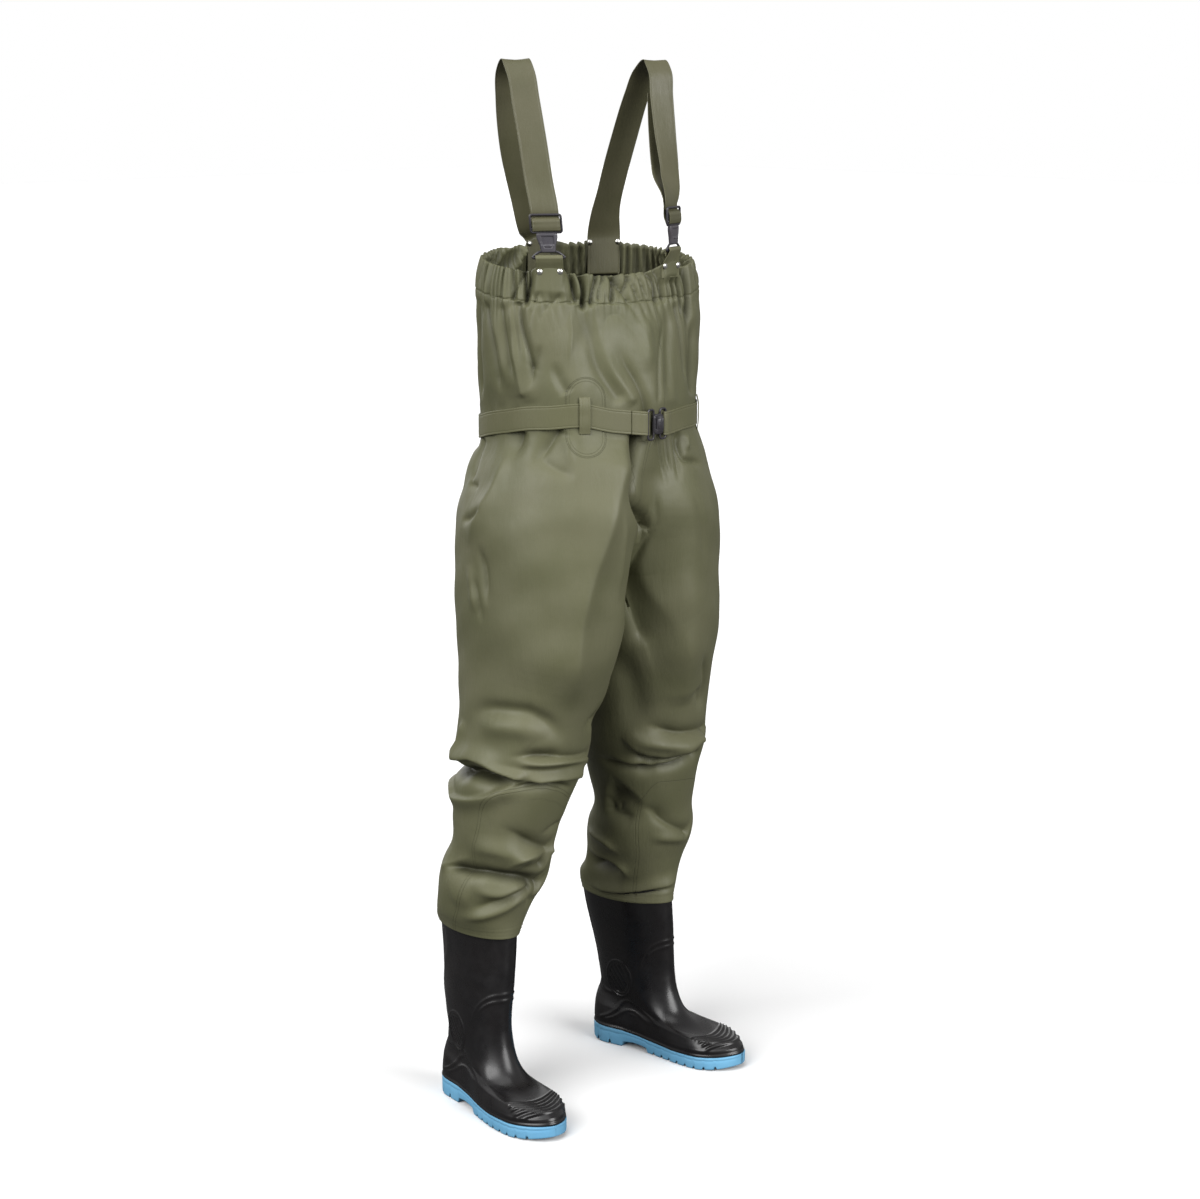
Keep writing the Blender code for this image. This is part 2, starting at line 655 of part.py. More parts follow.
def build_strap(rows, sizes, mats):
    """One shoulder strap with its back end, front tab, buckle parts and rivets."""
    label, tab_deg, back_deg, hollow, end_width, bar, slant, rivet_rise = sizes
    green, black, steel = mats
    rim = TORSO[-1][0]
    frame = torso_frame(back_deg, rim - 0.004)
    inner = -(CLOTH_WALL + GAP + STRAP_THICK / 2 + hollow)
    turn = math.degrees(math.atan2(frame[1][1], -frame[1][0]))
    ends = []
    for rise in BACK_RISES:
        ends.append(tuple(in_frame(frame, 0.0, rise, inner)) + (turn,))
    across = end_width / 2 - BACK_RIVET_EDGE
    for n, side in enumerate((-1.0, 1.0)):
        place = in_frame(frame, side * across, BACK_RIVET_RISE, inner - STRAP_THICK / 2 - GAP)
        dome(f"rivet_{label}_back_{'ab'[n]}", place, -frame[3], RIVET_RADIUS, RIVET_RISE, steel)

    frame = torso_frame(tab_deg, rim, slant)
    t = STRAP_THICK
    turn = math.degrees(math.atan2(-frame[1][1], frame[1][0]))
    wrap = []
    for rise, off in STRAP_WRAP:
        wrap.append(tuple(in_frame(frame, 0.0, bar + rise * MM, off * MM)) + (turn,))
    back = []
    for x, y, z, face, slack in rows:
        if slack > 0:
            a = math.radians(face)
            back.insert(0, (x + slack * math.sin(a), y + slack * math.cos(a), z, face))
    path = back + wrap + [row[:4] for row in rows] + ends
    ribbon(f"strap_{label}", path, STRAP_WIDTH, end_width, STRAP_THICK, green, 72)
    flat = t / 2 + 0.9 * MM
    path = [(rise, lean(frame, tab_deg, rim + rise) + flat) for rise in (-0.034, -0.022, -0.010)]
    path.append((rivet_rise + RIVET_RADIUS, flat))
    path += [(bar + rise * MM, off * MM) for rise, off in TAB_WRAP]
    ribbon_in_frame(f"strap_tab_{label}", frame, path, TAB_WIDTH, t, green)
    for n, across in enumerate((-0.34, 0.34)):
        off = flat + t / 2 + 2 * GAP
        place = in_frame(frame, across * TAB_WIDTH, rivet_rise, off)
        dome(f"rivet_{label}_front_{'ab'[n]}", place, frame[3], RIVET_RADIUS, RIVET_RISE, steel)

    cell_plate(f"buckle_{label}_loop", frame,
               [v * MM for v in (-27.5, -24, 24, 27.5)],
               [bar + v * MM for v in (-1.8, 1.8, 6.0, 10.0)],
               ["xxx", "x.x", "xxx"], 0.0010, 0.0024, black)
    cell_plate(f"buckle_{label}_latch", frame,
               [v * MM for v in (-15, -11, 11, 15)],
               [bar + v * MM for v in (10.3, 18.0, 30.0, 37.0)],
               [".x.", "xxx", "xxx"], -0.0012, 0.0080, black)
    cell_plate(f"buckle_{label}_adjuster", frame,
               [v * MM for v in (-26, -22.5, 22.5, 26)],
               [bar + v * MM for v in (37.3, 41.5, 50.0, 54.0, 64.0, 68.5)],
               ["xxx", "x.x", "xxx", "x.x", "xxx"], 0.0004, 0.0040, black)


def build_loop(name, deg, gap, mat):
    """Belt loop: a short band welded to the bib above and below the belt."""
    frame = torso_frame(deg, BELT_Z)
    high = LOOP_HEIGHT / 2
    belt = BELT_HEIGHT / 2
    far = BELT_OFF + BELT_THICK + GAP + LOOP_THICK / 2 + 0.5 * MM
    near = LOOP_THICK / 2 + gap
    path = [(-high, lean(frame, deg, BELT_Z - high) + near), (-belt - 0.004, far), (-belt, far)]
    path += [(belt, far), (belt + 0.004, far), (high, lean(frame, deg, BELT_Z + high) + near)]
    return ribbon_in_frame(name, frame, path, LOOP_WIDTH, LOOP_THICK, mat)


def build_belt_buckle(mat):
    """Fastened belt buckle: two end loops and the latch body between them."""
    frame = torso_frame(BUCKLE_DEG, BELT_Z)
    off = BELT_OFF + BELT_THICK + GAP
    rise = [v * MM for v in (-25, -20.5, 20.5, 25)]
    loop = ["xxx", "x.x", "xxx"]
    cell_plate("belt_buckle_right", frame, [v * MM for v in (-17.5, -14.5, -11.5, -9.3)], rise, loop,
               off, 0.0034, mat)
    cell_plate("belt_buckle_body", frame, [v * MM for v in (-9, -5, 5, 9)],
               [v * MM for v in (-17, -10, 10, 17)], [".x.", "xxx", ".x."], off - 0.001, 0.0075, mat)
    cell_plate("belt_buckle_left", frame, [v * MM for v in (9.3, 11.5, 14.5, 17.5)], rise, loop,
               off, 0.0034, mat)


def build_all():
    """Build every piece of the wader."""
    green = paint("coated_green", GREEN, 0.50)
    strap = paint("strap_green", STRAP_GREEN, 0.50)
    black = paint("boot_black", BLACK, 0.30)
    plastic = paint("buckle_black", BLACK, 0.40)
    blue = paint("sole_blue", BLUE, 0.55)
    grey = paint("insole_grey", GREY, 0.90)
    steel = paint("rivet_steel", STEEL, 0.25, 1.0)
    build_trousers(green)
    for label, side in (("right", -1.0), ("left", 1.0)):
        build_boot(label, side, black, blue, grey)
    build_belt(strap)
    for sizes, rows in zip(STRAP_SIDES, (STRAP_RIGHT, STRAP_LEFT)):
        build_strap(rows, sizes, (strap, plastic, steel))
    for name, deg, gap in LOOPS:
        build_loop(name, deg, gap, strap)
    build_belt_buckle(plastic)


for old in list(bpy.data.objects):
    bpy.data.objects.remove(old, do_unlink=True)
build_all()
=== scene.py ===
"""Looks of a safety chest wader: welded cloth with its folds, straps, belt, buckles and boots.

Lengths are metres unless a name or a docstring says mm, and +Z is up. The wearer faces -Y, so the
wearer's right is -X. The surfaces repeat the sections of the solids and add folds, gathers, welds and
moulded detail. Angles round the body run from the front centre to the wearer's right.
"""
import json
import logging
import math
from collections.abc import Callable
from dataclasses import dataclass
from enum import Enum

import bpy
import numpy as np
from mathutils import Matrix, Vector


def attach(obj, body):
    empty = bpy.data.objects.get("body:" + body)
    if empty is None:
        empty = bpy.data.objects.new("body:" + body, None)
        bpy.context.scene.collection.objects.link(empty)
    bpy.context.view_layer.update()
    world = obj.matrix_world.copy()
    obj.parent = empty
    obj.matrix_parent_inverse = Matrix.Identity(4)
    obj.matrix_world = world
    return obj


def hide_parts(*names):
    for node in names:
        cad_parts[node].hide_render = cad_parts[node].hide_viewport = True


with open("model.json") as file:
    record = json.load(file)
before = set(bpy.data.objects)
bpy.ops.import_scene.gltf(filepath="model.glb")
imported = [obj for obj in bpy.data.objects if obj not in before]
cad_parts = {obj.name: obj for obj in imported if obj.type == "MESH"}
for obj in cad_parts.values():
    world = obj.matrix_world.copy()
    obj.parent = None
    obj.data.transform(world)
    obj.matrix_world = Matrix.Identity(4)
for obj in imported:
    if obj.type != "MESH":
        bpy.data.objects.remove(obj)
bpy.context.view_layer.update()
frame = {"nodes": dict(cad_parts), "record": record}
LOG = logging.getLogger("wader")
MM = 0.001
BODY = "root"
UP = np.array([0.0, 0.0, 1.0])
# Half the angle in radians over which a chord of the torso gives its direction
CHORD = 0.01
ROD_SIDES = 14

Array = np.ndarray
Material = bpy.types.Material
Piece = bpy.types.Object
Socket = bpy.types.NodeSocket
Pair = tuple[float, float]
Triple = tuple[float, float, float]
Sizes = tuple[float, ...]
Path = tuple[Pair, ...]
Table = tuple[Sizes, ...]
Relief = Callable[[Array, Array], Array]
Seams = tuple[tuple["Region", Path], ...]


def smooth_columns(rows: Table, at: Array) -> Array:
    """Read every further column of a table by cubic Hermite pieces over its first column.

    Args:
        rows: Table rows, the first column being the key.
        at: Keys to read at, held inside the table's range.

    Returns:
        Values with one more axis than the keys, one entry per further column.
    """
    data = np.asarray(rows, float)
    data = data[np.argsort(data[:, 0])]
    key, cols = data[:, 0], data[:, 1:]
    slope = np.gradient(cols, key, axis=0)
    at = np.clip(np.asarray(at, float), key[0], key[-1])
    i = np.clip(np.searchsorted(key, at, side="right") - 1, 0, len(key) - 2)
    span = (key[i + 1] - key[i])[..., None]
    t = (at - key[i])[..., None] / span
    start = (1 + 2 * t) * (1 - t) ** 2 * cols[i] + t * (1 - t) ** 2 * span * slope[i]
    return start + t * t * (3 - 2 * t) * cols[i + 1] + t * t * (t - 1) * span * slope[i + 1]


def ease(t: Array) -> Array:
    """Blend from 0 to 1 with level ends: 3t^2 - 2t^3 of the clipped value."""
    t = np.clip(t, 0.0, 1.0)
    return t * t * (3 - 2 * t)


def ramp(x: Array, start: float, length: float) -> Array:
    """Eased rise from 0 at a start to 1 a length further on."""
    return ease((x - start) / length)


def bell(x: Array, half: float) -> Array:
    """Bell of distances over a half width: exp(-(x / half)^2)."""
    return np.exp(-(x / half) ** 2)


def waves(rows: Table, angle: Array) -> Array:
    """Sum of sines of angles; each row gives a height, a count and a phase."""
    return sum(height * np.sin(count * angle + phase) for height, count, phase in rows)


def apart(phi: Array, degrees: float = 0.0) -> Array:
    """Angles in radians from a direction in degrees, as degrees between -180 and 180."""
    return (np.degrees(phi) - degrees + 180.0) % 360.0 - 180.0


def unit(v: Array) -> Array:
    """Scale vectors on the last axis to length one."""
    return v / np.maximum(np.linalg.norm(v, axis=-1, keepdims=True), 1e-12)


def turned(x: Array, y: Array, degrees: Array) -> tuple[Array, Array]:
    """Turn plan points so that the front swings to the wearer's right."""
    a = -np.radians(degrees)
    return x * np.cos(a) - y * np.sin(a), x * np.sin(a) + y * np.cos(a)


def running(points: Array) -> Array:
    """Length along a line of points, from nought at the first."""
    return np.concatenate([[0.0], np.cumsum(np.linalg.norm(np.diff(points, axis=0), axis=1))])


def smooth_line(rows: Table, count: int) -> Array:
    """Resample rows by Hermite pieces, evenly along their running length over all columns."""
    key = running(np.asarray(rows, float))
    return smooth_columns(np.column_stack([key, rows]), np.linspace(0.0, key[-1], count))


def row_line(rows: Table, samples: int) -> tuple[Array, Array]:
    """Resample rows by Hermite pieces, with as many samples between any two rows.

    Args:
        rows: Rows of equal length; the first three columns measure the running length.
        samples: How many samples to return.

    Returns:
        Running lengths and the resampled rows.
    """
    data = np.asarray(rows, float)
    key = running(data[:, :3])
    at = np.interp(np.linspace(0.0, len(data) - 1.0, samples), np.arange(len(data)), key)
    return at, smooth_columns(np.column_stack([key, data]), at)


def grid_quads(rows: int, cols: int, wrap_cols: bool = False, wrap_rows: bool = False) -> Array:
    """Quads of a grid whose points run row by row.

    Args:
        rows: Number of point rows.
        cols: Number of points in a row.
        wrap_cols: Whether the last point of a row joins the first.
        wrap_rows: Whether the last row joins the first.

    Returns:
        Integer array of quads.
    """
    r = np.arange(rows if wrap_rows else rows - 1)[:, None]
    c = np.arange(cols if wrap_cols else cols - 1)[None, :]
    r2, c2 = (r + 1) % rows, (c + 1) % cols
    corners = [np.broadcast_to(a * cols + b, (r.shape[0], c.shape[1])) for a, b in
               ((r, c), (r, c2), (r2, c2), (r2, c))]
    return np.stack(corners, -1).reshape(-1, 4)


def vertex_normals(points: Array, quads: Array) -> Array:
    """Unit normals of points, as sums of the cross products of the diagonals of their quads.

    Args:
        points: Points of the surface.
        quads: Quads between them.

    Returns:
        One normal for each point.
    """
    a, b, c, d = (points[quads[:, k]] for k in range(4))
    face = np.cross(c - a, d - b)
    total = np.zeros_like(points)
    for k in range(4):
        np.add.at(total, quads[:, k], face)
    return unit(total)


@dataclass
class Shell:
    """A surface or closed body of quads, with named values at its points."""

    points: Array
    quads: Array

    @staticmethod
    def tube(rings: Array, closed: bool = False) -> "Shell":
        """Body through rings of points.

        Args:
            rings: Array of rings, points and coordinates.
            closed: Whether the last ring joins the first; else each end gets a fan about its middle.

        Returns:
            The shell with its caps.
        """
        rows, cols = rings.shape[:2]
        points = rings.reshape(-1, 3)
        quads = grid_quads(rows, cols, wrap_cols=True, wrap_rows=closed)
        if not closed:
            c = np.arange(cols)
            d = (c + 1) % cols
            first = np.full(cols, len(points))
            tail = (rows - 1) * cols
            caps = ((first, d, c, c), (first + 1, tail + c, tail + d, tail + d))
            points = np.concatenate([points, rings[[0, -1]].mean(axis=1)])
            quads = np.concatenate([quads] + [np.stack(cap, -1) for cap in caps])
        return Shell(points, quads)

    @staticmethod
    def joined(shells: list["Shell"]) -> "Shell":
        """Several shells as one.

        Args:
            shells: Shells in their order.

        Returns:
            One shell with all their points and quads.
        """
        counts = np.cumsum([0] + [len(s.points) for s in shells[:-1]])
        quads = np.concatenate([s.quads + n for s, n in zip(shells, counts)])
        return Shell(np.concatenate([s.points for s in shells]), quads)

    def volume(self) -> float:
        """Signed volume, as the sum of tetrahedra from the origin."""
        a, b, c, d = (self.points[self.quads[:, k]] for k in range(4))
        return float(np.sum(a * (np.cross(b, c) + np.cross(c, d))) / 6.0)

    def facing(self, outward: Array) -> "Shell":
        """The same surface with its faces along the outward directions of its first points."""
        now = vertex_normals(self.points, self.quads)[: len(outward)]
        return self if np.sum(now * outward) > 0 else Shell(self.points, self.quads[:, ::-1])

    def outward(self) -> "Shell":
        """The same closed body with its faces outward."""
        return self if self.volume() > 0 else Shell(self.points, self.quads[:, ::-1])


def make_piece(name: str, shell: Shell, finish: Material, nodes: tuple[str, ...] = (),
               values: dict[str, Array] | None = None) -> Piece:
    """Put a shell into the scene as one piece of the wader.

    Args:
        name: Piece name.
        shell: Its points and quads; a quad with a repeated corner is a triangle.
        finish: Material of the piece.
        nodes: Solids that the piece stands for.
        values: Named numbers at the points, which the material reads.

    Returns:
        The new object, riding on the wader's one body.
    """
    mesh = bpy.data.meshes.new(name)
    quads = shell.quads
    three = quads[:, 2] == quads[:, 3]
    total = np.where(three, 3, 4)
    loops = quads.ravel()[np.stack([np.ones_like(three)] * 3 + [~three], -1).ravel()]
    mesh.vertices.add(len(shell.points))
    mesh.vertices.foreach_set("co", shell.points.astype(np.float32).ravel())
    mesh.loops.add(len(loops))
    mesh.loops.foreach_set("vertex_index", loops.astype(np.int32))
    mesh.polygons.add(len(quads))
    mesh.polygons.foreach_set("loop_start", np.concatenate([[0], np.cumsum(total)[:-1]]).astype(np.int32))
    mesh.polygons.foreach_set("loop_total", total.astype(np.int32))
    mesh.polygons.foreach_set("use_smooth", np.ones(len(quads), bool))
    mesh.update(calc_edges=True)
    for key, value in (values or {}).items():
        mesh.attributes.new(key, "FLOAT", "POINT").data.foreach_set("value", value.astype(np.float32))
    mesh.validate()
    mesh.materials.append(finish)
    piece = bpy.data.objects.new(name, mesh)
    bpy.context.scene.collection.objects.link(piece)
    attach(piece, BODY)
    if nodes:
        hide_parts(*nodes)
    LOG.info("%s: %d faces", name, len(quads))
    return piece


@dataclass(frozen=True)
class BodyForm:
    """Worn form of the trousers, with the sections of the solids and a fold in at the fork."""

    # Torso rows: mid height, half width, half depth, turn to the right in degrees, front lift
    torso: Table = (
        (0.9, 0.242, 0.172, 0, 0),
        (0.955, 0.24, 0.176, 0, 0),
        (1.015, 0.23, 0.174, 0, 0.001),
        (1.073, 0.208, 0.161, 1, 0.006),
        (1.126, 0.188, 0.146, 2, 0.013),
        (1.147, 0.188, 0.146, 2, 0.013),
        (1.168, 0.188, 0.146, 2, 0.013),
        (1.215, 0.195, 0.139, 4, 0.008),
        (1.27, 0.2, 0.13, 7, 0),
        (1.325, 0.202, 0.123, 9, -0.01),
        (1.356, 0.201, 0.119, 9.5, -0.014),
        (1.406, 0.197, 0.115, 10, -0.018),
    )
    # Leg rows: height, centre to the side, centre to the back, half width, half depth, toe-out turn
    leg: Table = (
        (0.9, 0.118, -0.004, 0.12, 0.168, 0),
        (0.84, 0.12, -0.003, 0.117, 0.157, 0),
        (0.78, 0.122, -0.001, 0.114, 0.141, 0),
        (0.71, 0.128, 0.004, 0.111, 0.125, 0),
        (0.645, 0.137, 0.011, 0.108, 0.116, 1),
        (0.6, 0.144, 0.016, 0.108, 0.113, 2),
        (0.57, 0.149, 0.02, 0.104, 0.107, 2.5),
        (0.545, 0.153, 0.023, 0.098, 0.101, 3),
        (0.5, 0.16, 0.029, 0.089, 0.093, 4),
        (0.455, 0.166, 0.035, 0.083, 0.087, 5),
        (0.425, 0.17, 0.043, 0.087, 0.093, 6),
        (0.392, 0.174, 0.053, 0.085, 0.093, 7),
        (0.36, 0.177, 0.064, 0.076, 0.09, 8),
        (0.332, 0.178, 0.074, 0.067, 0.09, 9),
        (0.312, 0.1772, 0.0825, 0.056, 0.095, 9),
        (0.294, 0.177, 0.0837, 0.049, 0.0945, 9),
        (0.262, 0.1784, 0.0813, 0.0474, 0.0921, 9),
    )
    # Fold in at the fork: mid height, how far the front and the back centre go in
    fork: Table = (
        (0.9, 0.098, 0.04),
        (0.955, 0.072, 0.028),
        (1, 0.048, 0.018),
        (1.06, 0.026, 0.008),
        (1.115, 0.002, 0),
        (1.406, 0, 0),
    )
    fork_width: float = 0.050
    fork_fade: float = 0.05
    split_z: float = 0.900
    split_reach: float = 0.060
    split_margin: float = 0.05
    split_steps: Sizes = (-1.0, -0.5, 0.0, 0.5, 1.0)
    crotch_z: float = 0.815
    leg_end_z: float = 0.262
    section_power: float = 2.25
    leg_front_deg: float = -35.0
    leg_back_deg: float = 215.0
    leg_blend: float = 0.36
    # Rise of the waist where the belt pulls it: degrees from the front to the right, mm
    waist: Table = (
        (-180, 0), (-90, 0), (-50, -3.4), (-25, -6), (0, -8.5), (20, 2), (37, 14.6), (60, 15.5),
        (80, 13), (115, 1.5), (150, -1), (180, 0),
    )
    waist_z: float = 1.150
    waist_height: float = 0.070

    @property
    def rim_z(self) -> float:
        """Mid height of the bib's rim."""
        return self.torso[-1][0]

    def torso_place(self, phi: Array, mid_z: Array) -> Array:
        """Places on the torso.

        A superellipse of the read half width and depth, with a bell-shaped fold in at the fork, turned
        about the axis; the front is lifted by the cosine of the angle, and the waist's rise fades as a bell.

        Args:
            phi: Angles from the front centre to the right, in radians.
            mid_z: Mid heights.

        Returns:
            Places, with one more axis.
        """
        phi, mid_z = np.broadcast_arrays(np.asarray(phi, float), np.asarray(mid_z, float))
        row = smooth_columns(self.torso, mid_z)
        s, c = np.sin(phi), np.cos(phi)
        k = 2.0 / self.section_power
        x = -row[..., 0] * np.sign(s) * np.abs(s) ** k
        y = -row[..., 1] * np.sign(c) * np.abs(c) ** k
        inward = smooth_columns(self.fork, mid_z)
        fold = bell(x, self.fork_width) * np.minimum(1.0, np.abs(y) / self.fork_fade)
        y = y + fold * np.where(c > 0, inward[..., 0], -inward[..., 1])
        x, y = turned(x, y, row[..., 2])
        rise = smooth_columns(self.waist, apart(phi))[..., 0] * MM
        rise = rise * bell(mid_z - self.waist_z, self.waist_height)
        return np.stack([x, y, mid_z + row[..., 3] * c + rise], -1)

    def leg_place(self, psi: Array, z: Array) -> Array:
        """Places on the right leg's own ellipse.

        Args:
            psi: Angles from the front.
            z: Heights.

        Returns:
            Places in metres.
        """
        row = smooth_columns(self.leg, z)
        x, y = turned(-row[..., 2] * np.sin(psi), -row[..., 3] * np.cos(psi), row[..., 4])
        return np.stack([x - row[..., 0], y + row[..., 1], z], -1)

    def place(self, share: Array, height: Array) -> Array:
        """Places on the right half below the bib, with the outer bend at the split softened.

        In a bell about the split a place is the mean of five, taken at heights a little above and below it.

        Args:
            share: Way round, as half_place takes it.
            height: Nominal heights.

        Returns:
            Places, with one more axis.
        """
        share, height = np.broadcast_arrays(np.asarray(share, float) % 2.0, np.asarray(height, float))
        plain = self.half_place(share, height)
        heights = [height + self.split_reach * step for step in self.split_steps]
        mean = np.mean([self.half_place(share, level) for level in heights], axis=0)
        soft = bell(height - self.split_z, self.split_reach)
        soft = soft * ease(share / self.split_margin) * ease((1.0 - share) / self.split_margin)
        return plain + soft[..., None] * (mean - plain)

    def half_place(self, share: Array, height: Array) -> Array:
        """Places on the plain right half of the trousers below the bib.

        Above the split the torso's right half; below it a blend from the split's ring to the leg's ellipse.

        Args:
            share: Way round, 0 to 1 from the front centre over the outside to the back centre, and 1 to 2
                along the inner leg to the front again.
            height: Nominal heights; inner columns start at the fork's curve instead of the split.

        Returns:
            Places, with one more axis.
        """
        share, height = np.broadcast_arrays(np.asarray(share, float) % 2.0, np.asarray(height, float))
        outer = np.minimum(share, 1.0)
        w = np.maximum(share - 1.0, 0.0)
        above = self.torso_place(np.pi * outer, np.maximum(height, self.split_z))
        top = self.torso_place(np.pi * outer, np.full(share.shape, self.split_z))
        front = self.torso_place(np.zeros(1), np.full(1, self.split_z))[0]
        back = self.torso_place(np.full(1, np.pi), np.full(1, self.split_z))[0]
        turn = (1 - np.cos(np.pi * w)) / 2
        inner = np.stack([
            np.zeros_like(w),
            back[1] + (front[1] - back[1]) * turn,
            self.split_z - (self.split_z - self.crotch_z) * np.sin(np.pi * w),
        ], -1)
        top = np.where((share > 1.0)[..., None], inner, top)
        psi = np.where(share > 1.0, self.leg_back_deg + (360 + self.leg_front_deg - self.leg_back_deg) * w,
                       self.leg_front_deg + (self.leg_back_deg - self.leg_front_deg) * outer)
        v = np.clip((self.split_z - height) / (self.split_z - self.leg_end_z), 0.0, 1.0)
        z = top[..., 2] + (self.leg_end_z - top[..., 2]) * v
        own = self.leg_place(np.radians(psi), z)
        m = ease(v / self.leg_blend)[..., None]
        own[..., :2] = top[..., :2] * (1 - m) + own[..., :2] * m
        return np.where((height > self.split_z)[..., None], above, own)


class Side(Enum):
    """Side of the wearer, as the sign of its X."""

    RIGHT = -1.0
    LEFT = 1.0

    @property
    def label(self) -> str:
        """Lower-case word of the side."""
        return self.name.lower()


class Region(Enum):
    """Part of the trousers on which a fold or seam is laid."""

    BIB = "bib"
    RIGHT = "right"
    LEFT = "left"


class FoldKind(Enum):
    """Cross section of a fold as (sign, power, rounding): soft or pressed ridge, sharp or soft trough."""

    RIDGE = (1.0, 2.0, 0.0)
    CREST = (1.0, 1.15, 0.10)
    TROUGH = (-1.0, 1.2, 0.10)
    DIP = (-1.0, 2.0, 0.01)

    def section(self, x: Array) -> Array:
        """Cross section at distances over the half width: exp(-(sqrt(x^2 + c^2) - c)^power)."""
        _, power, rounding = self.value
        return np.exp(-(np.sqrt(x * x + rounding * rounding) - rounding) ** power)


@dataclass(frozen=True)
class Fold:
    """One crease of the cloth.

    The path gives places as (share of the way round in percent, height in mm) on a leg half and as (angle in
    degrees, height in mm) on the bib. Half widths, height and lean are mm. Left and right are those of the
    path's direction as seen from outside, so left is above where a path runs from the outside to the front.
    The ends are the shares of the path over which the fold starts and dies away. A right width of 0 means
    that both are alike, and a lean above 0 moves the crest to the left.
    """

    region: Region
    kind: FoldKind
    half_width: float
    height: float
    path: Path
    ends: Pair = (0.35, 0.35)
    right_width: float = 0.0
    lean: float = 0.0


@dataclass
class LaidLine:
    """A line on the form with its outward normals."""

    points: Array
    normals: Array

    def within(self, points: Array, margin: float) -> Array:
        """Whether points lie in the line's box, widened by a margin."""
        return np.all((points > self.points.min(0) - margin) & (points < self.points.max(0) + margin), axis=1)

    def nearest(self, points: Array) -> tuple[Array, Array, Array]:
        """Nearest places on the line.

        Each point is projected on every straight stretch of the line, and the closest one is kept.

        Args:
            points: Points near the line.

        Returns:
            Share of the length from the start, signed distance (above 0 to the left of the direction, seen
            from outside), and the stretch's index.
        """
        a, b = self.points[:-1], self.points[1:]
        along = b - a
        size = np.sum(along * along, axis=1)
        part = np.clip(np.einsum("nsk,sk->ns", points[:, None] - a[None], along) / size, 0.0, 1.0)
        away = points[:, None] - (a[None] + part[..., None] * along[None])
        far = np.sum(away * away, axis=-1)
        index = np.argmin(far, axis=1)
        pick = np.arange(len(points))
        length = np.concatenate([[0.0], np.cumsum(np.sqrt(size))])
        share = (length[index] + part[pick, index] * np.sqrt(size)[index]) / length[-1]
        left = np.cross(self.normals[:-1], unit(along))
        side = np.sign(np.sum(away[pick, index] * left[index], axis=1))
        return share, side * np.sqrt(far[pick, index]), index


@dataclass
class Drape:
    """Lays folds and seams on the body form."""

    form: BodyForm
    samples: int = 28
    seam_samples: int = 60
    # How far a fold acts, in half widths
    reach: float = 4.0
    # Small steps for normals: angle on the bib, share on a leg, height
    bib_step: float = 0.01
    leg_step: float = 0.004
    height_step: float = 0.002
    # Cosine between the normals of point and line from which a fold acts, and the length of its onset
    facing: Pair = (-0.2, 0.7)

    def lay(self, region: Region, path: Path, samples: int | None = None) -> LaidLine:
        """Lay a path of a region on the form.

        Args:
            region: Bib, right or left half.
            path: Places in the region's own coordinates, as a fold gives them.
            samples: How many points the line gets.

        Returns:
            The line with its normals, from the cross product of small steps round and up.
        """
        line = smooth_line(path, samples or self.samples)
        if region is Region.BIB:
            key, height = np.radians(line[:, 0]), line[:, 1] * MM
            place, step = self.form.torso_place, self.bib_step
        else:
            key, height = line[:, 0] / 100.0, line[:, 1] * MM
            place, step = self.form.place, self.leg_step
        points = place(key, height)
        round_step = place(key + step, height) - place(key - step, height)
        up_step = place(key, height + self.height_step) - place(key, height - self.height_step)
        normals = unit(np.cross(up_step, round_step))
        if region is Region.LEFT:
            points, normals = points * (-1, 1, 1), normals * (-1, 1, 1)
        return LaidLine(points, normals)

    def offsets(self, fold: Fold, points: Array, normals: Array) -> Array:
        """Moves that one fold gives to points of the form.

        Height times the bell of the kind along the normal, eased to nothing at the path's ends, and the lean
        times the same bell along the surface. Points whose normal points away are left.

        Args:
            fold: The fold.
            points: Points of the form.
            normals: Their outward normals.

        Returns:
            Moves, one for each point.
        """
        moves = np.zeros_like(points)
        line = self.lay(fold.region, fold.path)
        near = line.within(points, max(fold.half_width, fold.right_width) * self.reach * MM)
        if not near.any():
            return moves
        share, distance, index = line.nearest(points[near])
        width = np.where(distance > 0, fold.half_width, fold.right_width or fold.half_width) * MM
        level = fold.kind.section(distance / width)
        for way, end in zip((share, 1 - share), fold.ends):
            level = level * ease(way / end) if end > 0 else level
        level = level * ramp(np.sum(normals[near] * line.normals[index], axis=1), *self.facing)
        tangent = unit(np.gradient(line.points, axis=0))[index]
        left = np.cross(line.normals[index], tangent)
        out = fold.kind.value[0] * fold.height * normals[near]
        moves[near] = level[:, None] * MM * (out + fold.lean * left)
        return moves

    def seam_distance(self, seams: Seams, points: Array, most: float) -> Array:
        """Signed distance in mm to the nearest of several seams, held at a most.

        Args:
            seams: Regions and paths of the seams.
            points: Places on the form.
            most: Largest distance told apart.

        Returns:
            A distance for each place.
        """
        best = np.full(len(points), most)
        for region, path in seams:
            line = self.lay(region, path, self.seam_samples)
            near = line.within(points, most * MM)
            if near.any():
                distance = line.nearest(points[near])[1] / MM
                best[near] = np.where(np.abs(distance) < np.abs(best[near]), distance, best[near])
        return best


RIDGE, CREST, TROUGH, DIP = FoldKind.RIDGE, FoldKind.CREST, FoldKind.TROUGH, FoldKind.DIP
BIB, RIGHT, LEFT = Region.BIB, Region.RIGHT, Region.LEFT


def folds_of(region: Region, *rows: tuple) -> tuple[Fold, ...]:
    """Folds of one region, from rows of their further fields."""
    return tuple(Fold(region, *row) for row in rows)


